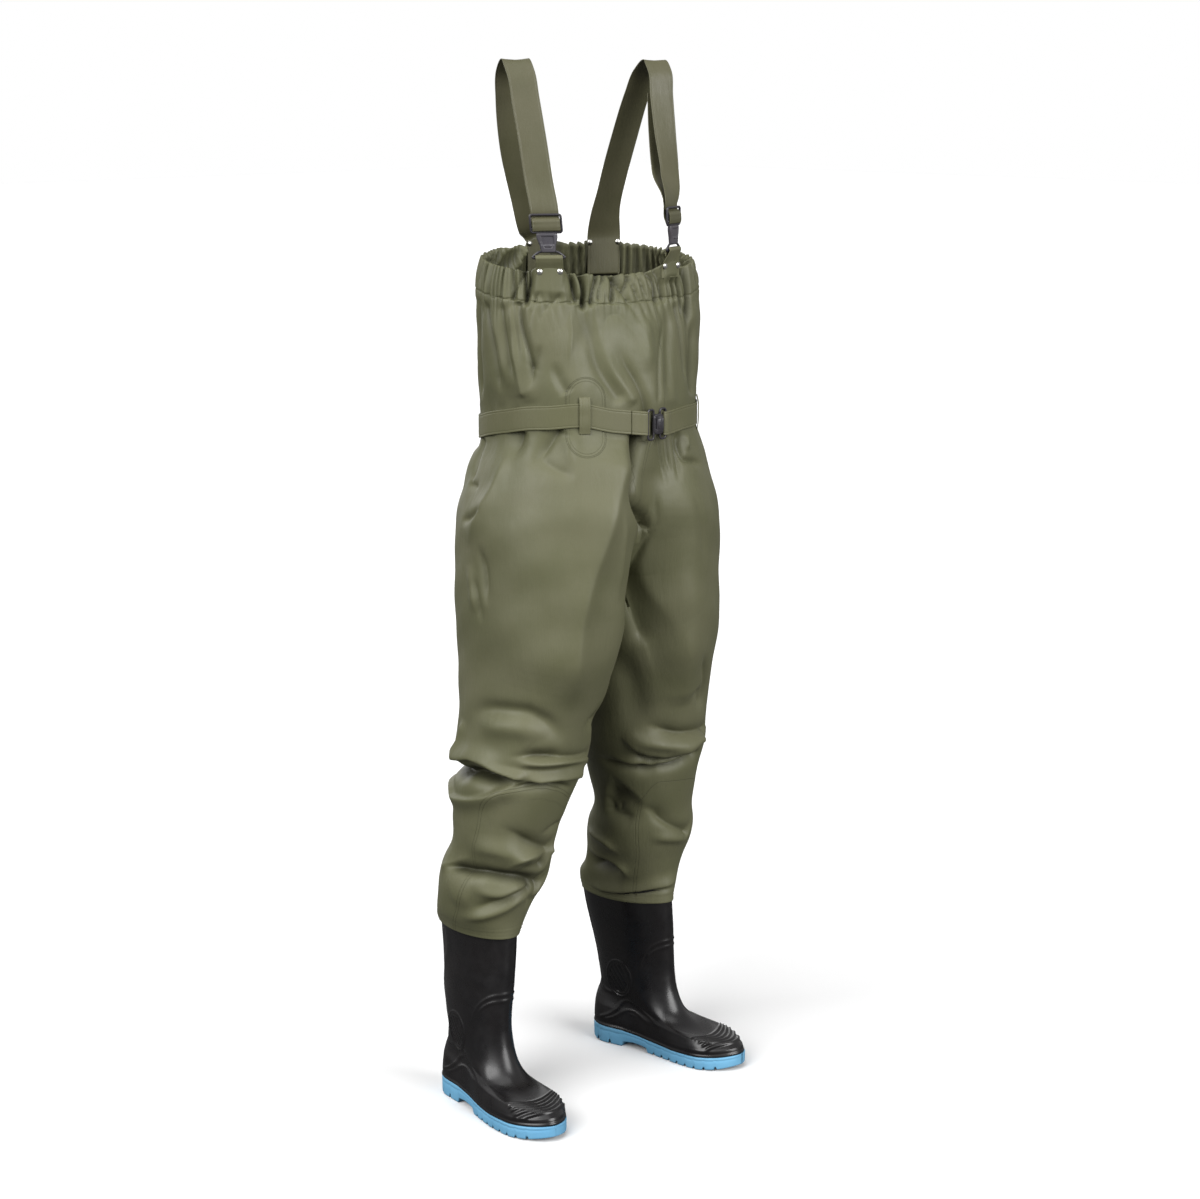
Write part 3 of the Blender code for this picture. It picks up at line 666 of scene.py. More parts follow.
# Pinches of the hem at the front, from the wearer's right to the left
HEM_PINCHES = folds_of(
    BIB,
    (TROUGH, 4, 9, ((67, 1409), (66, 1380), (65, 1346)), (0, 0.3)),
    (TROUGH, 5, 14, ((58, 1409), (57, 1392), (56, 1346)), (0, 0.2)),
    (TROUGH, 4, 9, ((53, 1409), (53, 1386), (55, 1356)), (0, 0.2)),
    (TROUGH, 5, 13, ((30, 1409), (28, 1394), (26, 1354)), (0, 0.2)),
    (RIDGE, 5, 4, ((27, 1405), (25, 1390), (24, 1362)), (0, 0.3)),
    (TROUGH, 5, 14, ((24, 1409), (22, 1390), (23, 1344)), (0, 0.2)),
    (TROUGH, 4, 13, ((14, 1409), (16, 1388), (19, 1350)), (0, 0.2)),
    (TROUGH, 3, 8, ((10, 1409), (13, 1384), (15, 1358)), (0, 0.2)),
    (TROUGH, 5, 12, ((4, 1409), (6, 1388), (9, 1354)), (0, 0.2)),
    (TROUGH, 3, 8, ((-2, 1409), (1, 1388), (3, 1366)), (0, 0.3)),
    (TROUGH, 5, 12, ((-10, 1409), (-13, 1388), (-13, 1346)), (0, 0.2)),
    (TROUGH, 4, 9, ((-15, 1409), (-17, 1388), (-18, 1348)), (0, 0.2)),
    (TROUGH, 4, 10, ((-21, 1400), (-24, 1386), (-26, 1350)), (0.1, 0.2)),
    (TROUGH, 4, 11, ((-27, 1402), (-29, 1388), (-31, 1300)), (0.1, 0.5)),
    (TROUGH, 5, 12, ((-35, 1409), (-38, 1392), (-36, 1280)), (0, 0.5)),
    (TROUGH, 5, 11, ((-42, 1409), (-40, 1348), (-38, 1295)), (0, 0.5)),
)
# Drape of the bib below the hem
BIB_DRAPE = folds_of(
    BIB,
    (DIP, 14, 7, ((117, 1350), (119, 1260), (123, 1180)), (0.1, 0.2)),
    (TROUGH, 9, 8, ((101, 1352), (104, 1280), (110, 1185)), (0.1, 0.2)),
    (TROUGH, 7, 7, ((91, 1350), (86, 1272), (88, 1192)), (0.1, 0.2)),
    (RIDGE, 9, 4, ((84, 1345), (81, 1280), (82, 1195))),
    (TROUGH, 6, 6, ((74, 1352), (74, 1282), (75, 1205)), (0.1, 0.3)),
    (CREST, 9, 5, ((69, 1310), (71, 1244), (73, 1182)), (0.4, 0.1)),
    (TROUGH, 5, 4, ((66, 1358), (65, 1308), (68, 1240)), (0.1, 0.4)),
    (TROUGH, 6, 9, ((61, 1358), (60, 1308), (59, 1260), (61, 1234), (68, 1196)), (0.05, 0.25)),
    (TROUGH, 6, 4, ((50, 1288), (55, 1258), (61, 1236)), (0.5, 0.15)),
    (DIP, 9, 5, ((46, 1256), (46, 1210), (45, 1185)), (0.5, 0.1)),
    (CREST, 3, 2, ((30, 1358), (31, 1310), (38, 1240)), (0.05, 0.4)),
    (DIP, 10, 3, ((25, 1358), (26, 1310), (33, 1240)), (0.05, 0.5)),
    (DIP, 12, 6, ((20, 1358), (22, 1290), (21, 1225), (15, 1176)), (0.3, 0.1)),
    (RIDGE, 10, 4, ((17, 1290), (15, 1222), (9, 1176)), (0.4, 0.1)),
    (TROUGH, 9, 8, ((10, 1300), (9, 1250), (6, 1210), (4, 1165)), (0.6, 0)),
    (TROUGH, 4, 4, ((-13, 1345), (-14, 1320), (-6, 1240), (-1, 1176)), (0.3, 0.1)),
    (RIDGE, 14, 5, ((-4, 1340), (-3, 1290), (1, 1225))),
    (DIP, 10, 5, ((-18, 1345), (-17, 1300), (-13, 1240), (-9, 1180)), (0.2, 0.2)),
    (TROUGH, 5, 6, ((-25, 1352), (-27, 1296), (-28, 1200)), (0.1, 0.2)),
    (TROUGH, 6, 6, ((-35, 1348), (-34, 1248), (-33, 1180)), (0.1, 0.2)),
    (DIP, 12, 7, ((-42, 1320), (-39, 1240), (-37, 1175)), (0.3, 0.1)),
)
# Right hip
RIGHT_HIP = folds_of(
    RIGHT,
    (TROUGH, 6, 16, ((61, 1128), (62, 1096), (60, 1055)), (0.1, 0.4)),
    (RIDGE, 12, 4, ((69, 1118), (68, 1077), (65, 1035)), (0.2, 0.4)),
    (CREST, 22, 12, ((46, 1120), (48, 1060), (50, 1030), (53, 991), (57, 950))),
    (TROUGH, 5, 6, ((63, 1054), (54, 1052))),
    (TROUGH, 6, 8, ((61, 994), (55, 1005), (50, 1024))),
    (TROUGH, 6, 8, ((51, 970), (49, 919), (48, 865))),
    (TROUGH, 5, 6, ((53, 920), (51, 877), (50, 835))),
    (RIDGE, 10, 5, ((55, 935), (53, 890), (52, 850))),
    (TROUGH, 9, 11, ((28, 1132), (33, 1105), (38, 1078)), (0.1, 0.6)),
    (TROUGH, 9, 5, ((36, 1097), (29, 1079), (23, 1068))),
    (RIDGE, 9, 4, ((26, 1120), (25, 1075)), (0.2, 0.6)),
    (TROUGH, 9, 10, ((42, 1132), (44, 1090)), (0.1, 0.7)),
    (CREST, 26, 20, ((8, 1132), (10, 1084), (13, 1038), (16, 978), (19, 916), (22, 822), (22, 754),
        (21, 695)), (0.15, 0.2), 44),
    (TROUGH, 8, 24, ((4, 1134), (5, 1094), (6, 1068), (7, 1052), (7, 1038), (5, 1018), (2, 1004),
        (0, 976), (0, 945)), (0, 0.35)),
    (CREST, 9, 6, ((12, 1034), (11, 992), (11, 962), (11, 936), (11, 870))),
)
# Left hip
LEFT_HIP = folds_of(
    LEFT,
    (TROUGH, 8, 5, ((1, 1052), (1, 1024), (2, 990), (1, 956), (0, 920)), (0.3, 0.3)),
    (TROUGH, 12, 10, ((0, 930), (0, 886), (0, 830), (0, 770)), (0.3, 0.2)),
    (CREST, 38, 18, ((2, 1070), (2, 1000), (2, 940), (3, 880), (5, 830), (8, 760)), (0.3, 0.5)),
    (CREST, 30, 9, ((7, 820), (9, 770), (10, 710), (9, 655)), (0.4, 0.2)),
    (TROUGH, 10, 3, ((9, 1044), (11, 996), (13, 944), (14, 900))),
    (TROUGH, 5, 8, ((1, 1130), (2, 1090), (3, 1060), (3, 1036)), (0.05, 0.5)),
    (TROUGH, 5, 8, ((4, 1130), (4, 1088), (5, 1050)), (0.05, 0.5)),
    (TROUGH, 6, 10, ((8, 1132), (7, 1080), (6, 1042)), (0.05, 0.5)),
    (TROUGH, 5, 9, ((10, 1120), (9, 1090), (10, 1078), (15, 1070), (20, 1060)), (0.1, 0.4)),
    (RIDGE, 6, 5, ((13, 1114), (12, 1088))),
    (DIP, 24, 8, ((177, 830), (184, 710), (181, 634))),
    (TROUGH, 9, 8, ((14, 760), (22, 678), (20, 625))),
)
# Right knee and shin
RIGHT_KNEE = folds_of(
    RIGHT,
    (DIP, 13, 10, ((55, 676), (43, 701), (36, 701), (29, 689), (23, 668), (18, 636))),
    (RIDGE, 16, 6, ((50, 660), (43, 672), (36, 672), (30, 664), (26, 650))),
    (CREST, 9, 7, ((59, 672), (61, 623), (63, 606)), (0.3, 0.1)),
    (RIDGE, 15, 11, ((63, 605), (55, 613), (50, 619), (46, 617), (40, 608), (34, 600), (27, 588)),
        (0.1, 0.15), 5, -6),
    (TROUGH, 9, 36, ((90, 574), (77, 579), (66, 583), (57, 585), (50, 592), (43, 589), (37, 585),
        (29, 584)), (0.42, 0.22), 11),
    (RIDGE, 5, 9, ((82, 560), (73, 553), (66, 545), (61, 536), (51, 541), (44, 549), (40, 556),
        (36, 566), (31, 575), (26, 582)), (0.2, 0.2), 14, 3),
    (TROUGH, 8, 11, ((38, 627), (27, 627), (20, 623), (10, 615), (-6, 606)), (0.3, 0.05), 5),
    (DIP, 9, 6, ((33, 628), (24, 628), (17, 624))),
    (CREST, 6, 9, ((34, 617), (30, 615), (18, 613), (7, 608), (-6, 604)), (0.25, 0.05), 9),
    (TROUGH, 9, 9, ((46, 623), (35, 612), (25, 603), (13, 600), (0, 600)), (0.3, 0.3), 9),
    (RIDGE, 10, 10, ((29, 588), (20, 589), (9, 585), (-1, 583)), (0.2, 0.2), 4, -4),
    (TROUGH, 4, 11, ((36, 568), (26, 578), (21, 577), (10, 565), (3, 555)), (0.3, 0.3), 8),
    (TROUGH, 10, 15, ((35, 510), (27, 492), (19, 475), (8, 458), (0, 450)), (0.5, 0.1), 18),
    (TROUGH, 7, 9, ((15, 487), (6, 490), (-5, 492)), (0.6, 0)),
    (DIP, 11, 11, ((24, 432), (12, 431), (2, 427)), (0.4, 0.2)),
    (CREST, 9, 7, ((27, 424), (23, 440), (14, 450), (2, 447), (-6, 444)), (0.3, 0.1)),
    (RIDGE, 20, 8, ((50, 460), (37, 464), (28, 458), (20, 448), (6, 428)), (0.3, 0.2), 14),
    (TROUGH, 17, 25, ((62, 418), (50, 426), (44, 425), (37, 425), (28, 418), (19, 410), (6, 393),
        (-2, 386)), (0.2, 0.05), 11),
    (CREST, 8, 8, ((63, 406), (55, 431), (46, 447))),
    (RIDGE, 9, 7, ((40, 396), (25, 386), (17, 393), (8, 391), (-1, 389)), (0.4, 0.1)),
    (TROUGH, 9, 11, ((38, 360), (24, 372), (16, 382), (6, 387)), (0.4, 0.1)),
    (RIDGE, 9, 7, ((44, 336), (30, 349), (21, 361), (14, 373), (4, 380))),
    (RIDGE, 20, 4, ((50, 370), (43, 376), (36, 372))),
    (DIP, 10, 6, ((10, 368), (0, 358)), (0.5, 0)),
    (TROUGH, 12, 14, ((12, 666), (2, 670), (-9, 673)), (0.6, 0)),
)
# Left knee and shin
LEFT_KNEE = folds_of(
    LEFT,
    (TROUGH, 12, 14, ((184, 652), (194, 636), (202, 617), (208, 608), (216, 604), (226, 600)), (0.4, 0), 7),
    (RIDGE, 11, 13, ((171, 652), (178, 640), (193, 609), (205, 592), (212, 590), (224, 592)), (0.3, 0.1)),
    (RIDGE, 10, 7, ((169, 654), (176, 632), (185, 608), (198, 582), (204, 575), (209, 580),
        (218, 583)), (0.25, 0.2), 4, -6),
    (TROUGH, 4, 14, ((177, 620), (185, 597), (201, 567), (209, 571), (218, 576)), (0.3, 0.3), 7),
    (RIDGE, 6, 8, ((155, 610), (185, 583), (201, 561), (207, 565), (216, 572)), (0.3, 0.2), 6, -3),
    (TROUGH, 7, 16, ((140, 605), (166, 589), (180, 572), (193, 553), (203, 548), (214, 556),
        (223, 562)), (0.3, 0.1), 9),
    (DIP, 12, 7, ((214, 690), (219, 665), (219, 640))),
    (DIP, 26, 15, ((144, 530), (160, 520), (175, 530))),
    (TROUGH, 16, 12, ((183, 492), (197, 458), (207, 431), (220, 404)), (0.3, 0.1), 6),
    (RIDGE, 10, 6, ((188, 420), (206, 408), (222, 395))),
    (CREST, 7, 8, ((107, 412), (130, 423), (146, 420), (155, 406), (162, 386)), (0.35, 0.35), 12),
    (CREST, 8, 8, ((104, 368), (113, 372), (146, 377), (163, 362), (172, 326)), (0.4, 0.3)),
    (DIP, 18, 24, ((104, 346), (116, 350), (145, 352), (167, 343)), (0.5, 0.3)),
    (RIDGE, 12, 9, ((118, 296), (140, 300), (172, 310), (198, 316), (222, 318)), (0.2, 0.2), 4, -4),
    (TROUGH, 3, 5, ((131, 287), (150, 290), (172, 297), (198, 302), (222, 303)), (0.2, 0.2)),
    (TROUGH, 7, 5, ((142, 524), (150, 484)), (0.5, 0.2)),
    (TROUGH, 6, 4, ((158, 508), (160, 482)), (0.5, 0.2)),
    (TROUGH, 7, 7, ((138, 492), (158, 481), (178, 470))),
)
FOLDS = HEM_PINCHES + BIB_DRAPE + RIGHT_HIP + LEFT_HIP + RIGHT_KNEE + LEFT_KNEE

# Welded seams: two lines each, and one line each
DOUBLE_SEAMS: Seams = (
    (RIGHT, ((49, 300), (44, 351), (43, 391), (43, 427), (44, 461), (43, 496), (42, 537), (40, 551),
             (36, 564), (29, 570), (22, 572), (15, 564), (3, 541))),
    (LEFT, ((177, 296), (181, 378), (179, 467), (182, 496))),
    (RIGHT, ((0, 1130), (3, 1030), (3, 985), (0, 905))),
)
SINGLE_SEAMS: Seams = (
    (BIB, ((-10.5, 1352), (-10.5, 1261), (-7.5, 1216), (-4, 1165))),
    (LEFT, ((182, 500), (198, 519), (214, 516), (230, 500))),
)


@dataclass(frozen=True)
class Train:
    """Waves round the body, whose phase drifts by a sum of sines; the height is mm."""

    height: float
    count: int
    drift: Table
    # Share of the hem's slant
    slant: float = 0.0
    # Power of the half sine; below 1 the crests are round and the troughs sharp
    power: float = 1.0

    def phase(self, phi: Array) -> Array:
        """Count times the angle, plus the drift."""
        return self.count * phi + waves(self.drift, phi)


@dataclass
class Trousers:
    """The welded cloth: a gathered bib and two leg halves that meet at the centre seams."""

    form: BodyForm
    finish: Material
    belt_z: float = 1.147
    belt_half: float = 0.021
    belt_soft: float = 0.016
    belt_samples: int = 181
    overlap: float = 0.012
    bib_columns: int = 480
    # Rows of the drape, the casing's seam and the casing, and where they meet, in mm from the seam
    bib_rows: tuple[int, int, int] = (84, 11, 22)
    seam_zone: Sizes = (4.0, 3.0, -5.0, -7.0)
    # The inside keeps one row in so many
    inner_step: int = 3
    leg_columns: int = 224
    inner_columns: int = 60
    hip_rows: int = 96
    leg_rows: int = 224
    cloth_mm: float = 1.2
    casing_mm: float = 3.0
    casing_height: float = 0.049
    # How far below the seam the casing's depth starts, and the length of its onset
    casing_onset: Pair = (0.002, 0.006)
    lip_rise: float = 0.0016
    # Places that strap tabs hold flat: angle, half width in degrees, depth below the rim, pull upward in mm
    tabs: Table = (
        (41, 10, 0.03, 7), (-24, 6.5, 0.014, 11), (175, 8.5, 0.054, 0),
        (-152, 11, 0.054, 0),
    )
    tab_power: int = 6
    tab_soft: float = 0.014
    pull_spread: float = 1.5
    pull_depth: float = 0.030
    # Gathers of the hem; sums of sines are rows of height, count and phase
    gather_trains: tuple[Train, ...] = (
        Train(13.0, 25, ((2.1, 3, 0.7), (1.5, 7, 2.1), (1.0, 13, 0.4)), 1.0, 0.5),
        Train(5.0, 43, ((2.2, 5, 0.0),), -0.6, 0.6),
    )
    gather_mean: float = 0.95
    gather_slant: Table = ((45.0, 2, 2.6), (35.0, 5, 1.0))
    level_mean: float = 0.95
    level_waves: Table = ((0.25, 4, 1.1), (0.25, 9, 0.2))
    level_range: Pair = (0.55, 1.5)
    # The front, where most gathers are laid as folds: from, to and softness in degrees, share that it loses
    front_span: Pair = (-54.0, 54.0)
    front_soft: float = 8.0
    front_loss: float = 0.42
    # Gathers below the casing: first share and length of the fade
    gather_fade: Pair = (0.6, 0.026)
    rim_lean: float = 5.0
    lean_power: float = 1.5
    casing_lean: float = 2.0
    # Rise of the rim with its gathers: share, mean depth, lowest and highest in mm, and how deep it reaches
    rim_wave: Sizes = (0.35, 7.0, -10.0, 8.0, 0.012)
    # Casing's seam: sum of sines and shift in mm; groove as depth, place and half width; step and its length
    seam_waves: Table = ((1.6, 9, 1.0), (1.2, 31, 0.5))
    seam_shift: float = -1.0
    seam_groove: Triple = (0.9, 0.5, 1.5)
    casing_step: Pair = (0.5, 3.0)
    # Soft pleats at the belt: share at the front, turn of the onset, reach
    pleats: tuple[Train, ...] = (Train(2.6, 17, ((1.5, 3, 0.5),)), Train(1.56, 29, ((2.0, 2, 0.0),)))
    pleat_front: float = 0.25
    pleat_turn: float = 1.1
    pleat_reach: float = 0.055
    # Slow waves of the cloth: counts along x, y and z, phase; the first two are multiplied
    slow_waves: Table = ((31, 0, 17, 1.3), (0, 23, -19, 0.0), (29, -13, 47, 0.0), (37, 61, 83, 0.0))
    slow_heights: Triple = (0.9, 0.63, 0.5)
    # Painted shade of creases in mm: first depth on the bib and the legs, and the span to full shade
    bib_shade: float = 4.0
    leg_shade: float = 8.0
    shade_span: float = 12.0
    # Painted shade of the inside: first outward move, span, most
    inner_shade: Triple = (-9.0, 7.0, 0.9)
    seam_reach: float = 20.0
    # Patch behind the belt loop: angle in degrees, drop in metres, step of the angle in radians; then mm
    patch_deg: float = 36.0
    patch_drop: float = 0.003
    patch_step: float = 0.02
    patch_straight: float = 30.0
    patch_radius: float = 32.0
    patch_reach: float = 40.0
    patch_behind: float = -60.0
    right_end: float = 0.304
    left_end: float = 0.279
    # Weld ribs near a leg's end in mm: height, pitch, start and length of their fade
    cuff_rib: float = 0.6
    cuff_pitch: float = 6.0
    cuff_fade: Pair = (12.0, 6.0)
    # Height over the end where folds start, and the length of their onset
    cuff_free: Pair = (2.0, 20.0)
    # Edge of a cuff, turned in: outward and up in mm
    cuff_edge: Path = ((-0.3, -0.9), (-1.2, -1.2), (-2.1, -0.4), (-2.4, 8.0))

    def gathers(self, phi: Array, below: Array) -> Array:
        """Gathers of the elastic hem in mm.

        Trains of half sines raised to a power below 1, with a drifting and slanting phase. They die away
        below the casing, and the rim leans inward.

        Args:
            phi: Angles from the front, in radians.
            below: Distance below the rim.

        Returns:
            Outward moves in mm.
        """
        slant = waves(self.gather_slant, phi) * below
        total = np.zeros_like(below)
        for train in self.gather_trains:
            wave = np.abs(np.sin(train.phase(phi) + train.slant * slant)) ** train.power
            total = total + train.height * (wave - self.gather_mean)
        level = np.clip(self.level_mean + waves(self.level_waves, phi), *self.level_range)
        turn = apart(phi)
        start, end = (ramp(turn, edge, self.front_soft) for edge in self.front_span)
        front = start * (1 - end)
        first, length = self.gather_fade
        past = below - self.casing_height
        fade = np.where(past < 0, 1.0, first * np.exp(-past / length))
        return total * level * (1 - self.front_loss * front) * fade - self.lean(below)

    def lean(self, below: Array) -> Array:
        """How far in mm the hem leans inward: a little over the casing and more towards the rim."""
        up = 1 - below / self.casing_height
        return self.rim_lean * np.clip(up, 0.0, 1.0) ** self.lean_power + self.casing_lean * ease(1 + up)

    def shade(self, out: Array, first: float) -> Array:
        """Share of painted shade in a crease, from its outward move in mm and the depth where the shade
        starts.
        """
        return np.clip((-out - first) / self.shade_span, 0.0, 1.0)

    def calm(self, phi: Array, below: Array) -> Array:
        """Share of the hem that is held flat: a soft block of angles and depths at each strap tab.

        Args:
            phi: Angles from the front.
            below: Depths below the rim.

        Returns:
            Shares between 0 and 1.
        """
        flat = np.zeros_like(below)
        for tab, half, depth, _ in self.tabs:
            held = np.exp(-(apart(phi, tab) / half) ** self.tab_power)
            flat = np.maximum(flat, held * (1 - ramp(below, depth, self.tab_soft)))
        return flat

    def pulled(self, phi: Array, below: Array) -> Array:
        """How far the tabs pull the hem up, in mm: a bell about each tab that dies away below the rim."""
        bells = [pull * bell(apart(phi, tab), self.pull_spread * half) for tab, half, _, pull in self.tabs]
        return sum(bells) * np.exp(-below / self.pull_depth)

    def over_belt(self, points: Array) -> Array:
        """Height of points over the belt's middle line, read at the points' directions round the body.

        Args:
            points: Places on the form.

        Returns:
            Heights in metres.
        """
        line = self.form.torso_place(np.linspace(-np.pi, np.pi, self.belt_samples), self.belt_z)
        around = np.arctan2(-line[:, 0], -line[:, 1])
        direction = np.arctan2(-points[:, 0], -points[:, 1])
        return points[:, 2] - np.interp(direction, around, line[:, 2], period=2 * np.pi)

    def cinch(self, phi: Array, over: Array) -> Array:
        """Soft pleats in mm: drifting waves that fade away from the belt, mostly at the back.

        Args:
            phi: Angles from the front.
            over: Heights over the belt.

        Returns:
            An outward move for each place.
        """
        wave = sum(train.height * np.sin(train.phase(phi)) for train in self.pleats)
        back = self.pleat_front + (1 - self.pleat_front) * ease((1 - np.cos(phi)) / self.pleat_turn)
        return wave * back * np.exp(-np.abs(over) / self.pleat_reach)

    def unevenness(self, points: Array) -> Array:
        """Slow waves of the cloth in mm: a product of two sines over the axes, and two more sines.

        Args:
            points: Places on the form.

        Returns:
            An outward move for each place.
        """
        rows = np.array(self.slow_waves)
        first, other, second, third = np.sin(points @ rows[:, :3].T + rows[:, 3]).T
        return np.stack([first * other, second, third], -1) @ self.slow_heights

    def draped(self, drape: Drape, points: Array, normals: Array) -> Array:
        """Points of the form with every fold, pleats at the belt and slow waves, held in under the belt.

        Args:
            drape: Lays the folds.
            points: Places on the form.
            normals: Their outward directions.

        Returns:
            The moved points.
        """
        moved = points + normals * (self.unevenness(points) * MM)[:, None]
        for fold in FOLDS:
            moved = moved + drape.offsets(fold, points, normals)
        phi, over = np.arctan2(-points[:, 0], -points[:, 1]), self.over_belt(points)
        waist = points[:, 2] > self.form.split_z
        moved = moved + normals * (np.where(waist, self.cinch(phi, over), 0.0) * MM)[:, None]
        grip = 1 - ramp(np.abs(over), self.belt_half, self.belt_soft)
        out = np.sum((moved - points) * normals, axis=1)
        return moved - (np.maximum(out, 0.0) * grip)[:, None] * normals

    def casing_relief(self, angle: Array, down: Array) -> Array:
        """Outward move of the casing in mm: a bell-shaped groove along its wavy seam, a step above it.

        Args:
            angle: Angles from the front.
            down: Depths below the rim.

        Returns:
            A move for each place.
        """
        seam = self.casing_height + (waves(self.seam_waves, angle) + self.seam_shift) * MM
        past = (down - seam) / MM
        depth, place, half = self.seam_groove
        step, length = self.casing_step
        return step * ease(-past / length) - depth * bell(past - place, half)

    def build_bib(self, drape: Drape) -> Piece:
        """Bib: outside from the belt to the rim, over the rolled rim and down the inside of the casing.

        A grid of angles and profile steps: the outer places carry folds and gathers, and the inner wall is
        the outer one moved inward by the cloth, or by the casing's depth above the casing's seam.

        Args:
            drape: Lays folds and seams.

        Returns:
            The bib.
        """
        drape_end, seam_start, seam_end, casing_start = self.casing_height + np.array(self.seam_zone) * MM
        drape_start = self.form.rim_z - self.belt_z + self.overlap
        spans = ((drape_start, drape_end), (seam_start, seam_end), (casing_start, 0.0))
        below = np.concatenate([np.linspace(*span, rows) for span, rows in zip(spans, self.bib_rows)])
        phi = np.linspace(0, 2 * np.pi, self.bib_columns, endpoint=False)
        angle, down = np.meshgrid(phi, below)
        base = self.form.torso_place(angle, self.form.rim_z - down)
        flat = base.reshape(-1, 3)
        normals = vertex_normals(flat, grid_quads(len(below), len(phi), wrap_cols=True))
        normals = normals * np.sign(np.sum(normals[:, :2] * flat[:, :2]))
        wave = self.gathers(angle, down) + self.casing_relief(angle, down)
        calm = self.calm(angle, down)
        moves = self.draped(drape, flat, normals) - flat + normals * (wave.ravel() * MM)[:, None]
        moves = moves * (1 - calm.reshape(-1, 1))
        out = np.sum(moves * normals, axis=1).reshape(down.shape) / MM
        share, mean, low, high, depth = self.rim_wave
        rise = share * np.clip(out + mean, low, high) * np.exp(-down / depth) + self.pulled(angle, down)
        outer = base + moves.reshape(base.shape) + (rise * MM)[..., None] * UP
        start, soft = self.casing_onset
        casing = ease((self.casing_height + start - down) / soft) * (1 - calm)
        deep = self.cloth_mm + (self.casing_mm - self.cloth_mm) * casing
        inner = (outer - normals.reshape(base.shape) * (deep * MM)[..., None])[::-1]
        inner = np.concatenate([inner[::self.inner_step], inner[-1:]])
        lip = (outer[-1] + inner[0]) / 2 + self.lip_rise * UP
        grid = np.concatenate([outer, lip[None], inner])
        quads = grid_quads(len(grid), len(phi), wrap_cols=True)
        shell = Shell(grid.reshape(-1, 3), quads).facing(normals)
        values = self.lines(drape, np.concatenate([flat, np.tile(base[-1], (1 + len(inner), 1))]))
        # Painted shade: the deeper a crease of the outside, the darker its colour
        shade = self.shade(out + self.lean(down), self.bib_shade)
        # Painted shade on the inside wall, darkest behind the gathers that stand out
        first, span, most = self.inner_shade
        behind = most * ramp(out[::-1], first, span)
        behind = np.concatenate([shade[-1:], behind[::self.inner_step], behind[-1:]])
        # Painted shade of the outside's creases and of the inside wall, passed to the material as a named
        # value
        values["painted_crease_shade"] = np.concatenate([shade, behind]).ravel()
        return make_piece("bib", shell, self.finish, ("trousers",), values)

    def lines(self, drape: Drape, points: Array) -> dict[str, Array]:
        """Distances in mm that draw the welds: double seams, single seams and the patch outline.

        Args:
            drape: Lays the seams.
            points: Places on the form.

        Returns:
            Distances by their names.
        """
        return {
            "seam": drape.seam_distance(DOUBLE_SEAMS, points, self.seam_reach),
            "weld": drape.seam_distance(SINGLE_SEAMS, points, self.seam_reach),
            "patch": self.patch_distance(points),
        }

    def patch_distance(self, points: Array) -> Array:
        """Signed distance in mm to the upright stadium outline of the patch behind the right belt loop.

        Args:
            points: Places on the form.

        Returns:
            Distances, negative inside and held at a reach.
        """
        phi = np.radians(self.patch_deg) + np.array([0.0, self.patch_step])
        middle, ahead = self.form.torso_place(phi, self.belt_z)
        middle = middle - (0.0, 0.0, self.patch_drop)
        across = unit((ahead - middle) * (1, 1, 0))
        away = (points - middle) / MM
        straight = np.maximum(np.abs(away[:, 2]) - self.patch_straight, 0.0)
        distance = np.hypot(away @ across, straight) - self.patch_radius
        before = away @ unit(middle * (1, 1, 0)) > self.patch_behind
        return np.where(before, np.clip(distance, -self.patch_reach, self.patch_reach), self.patch_reach)

    def leg_grid(self, end: float) -> tuple[Array, Array, Array, Array]:
        """Grid of the right half below the bib.

        The outer grid runs from the belt to the leg's end; the inner grid starts at the fork's curve and
        closes the tube below the split.

        Args:
            end: Height of the leg's end.

        Returns:
            Points, quads, the indices on the centre line and those of the end ring.
        """
        top = np.linspace(self.belt_z + self.overlap, self.form.split_z, self.hip_rows)
        low = np.linspace(self.form.split_z, end, self.leg_rows + 1)
        heights = np.concatenate([top, low[1:]])
        share = np.linspace(0.0, 1.0, self.leg_columns + 1)
        inner_share = 1.0 + np.arange(1, self.inner_columns + 1) / (self.inner_columns + 1)
        outer = self.form.place(share[None, :], heights[:, None])
        inner = self.form.place(inner_share[None, :], low[:, None])
        points = np.concatenate([outer.reshape(-1, 3), inner.reshape(-1, 3)])
        cols = self.leg_columns + 1
        outer_index = np.arange(outer.shape[0] * cols).reshape(-1, cols)
        inner_index = outer_index.size + np.arange(inner.shape[0] * self.inner_columns)
        inner_index = inner_index.reshape(-1, self.inner_columns)
        rows = outer_index[self.hip_rows - 1:]
        band = np.concatenate([rows[:, -1:], inner_index, rows[:, :1]], axis=1)
        quads = [index.ravel()[grid_quads(*index.shape)] for index in (outer_index, band)]
        open_rows = outer_index[: self.hip_rows]
        centre = np.concatenate([open_rows[:, 0], open_rows[:, -1], inner_index[0]])
        return points, np.concatenate(quads), centre, np.concatenate([outer_index[-1], inner_index[-1]])

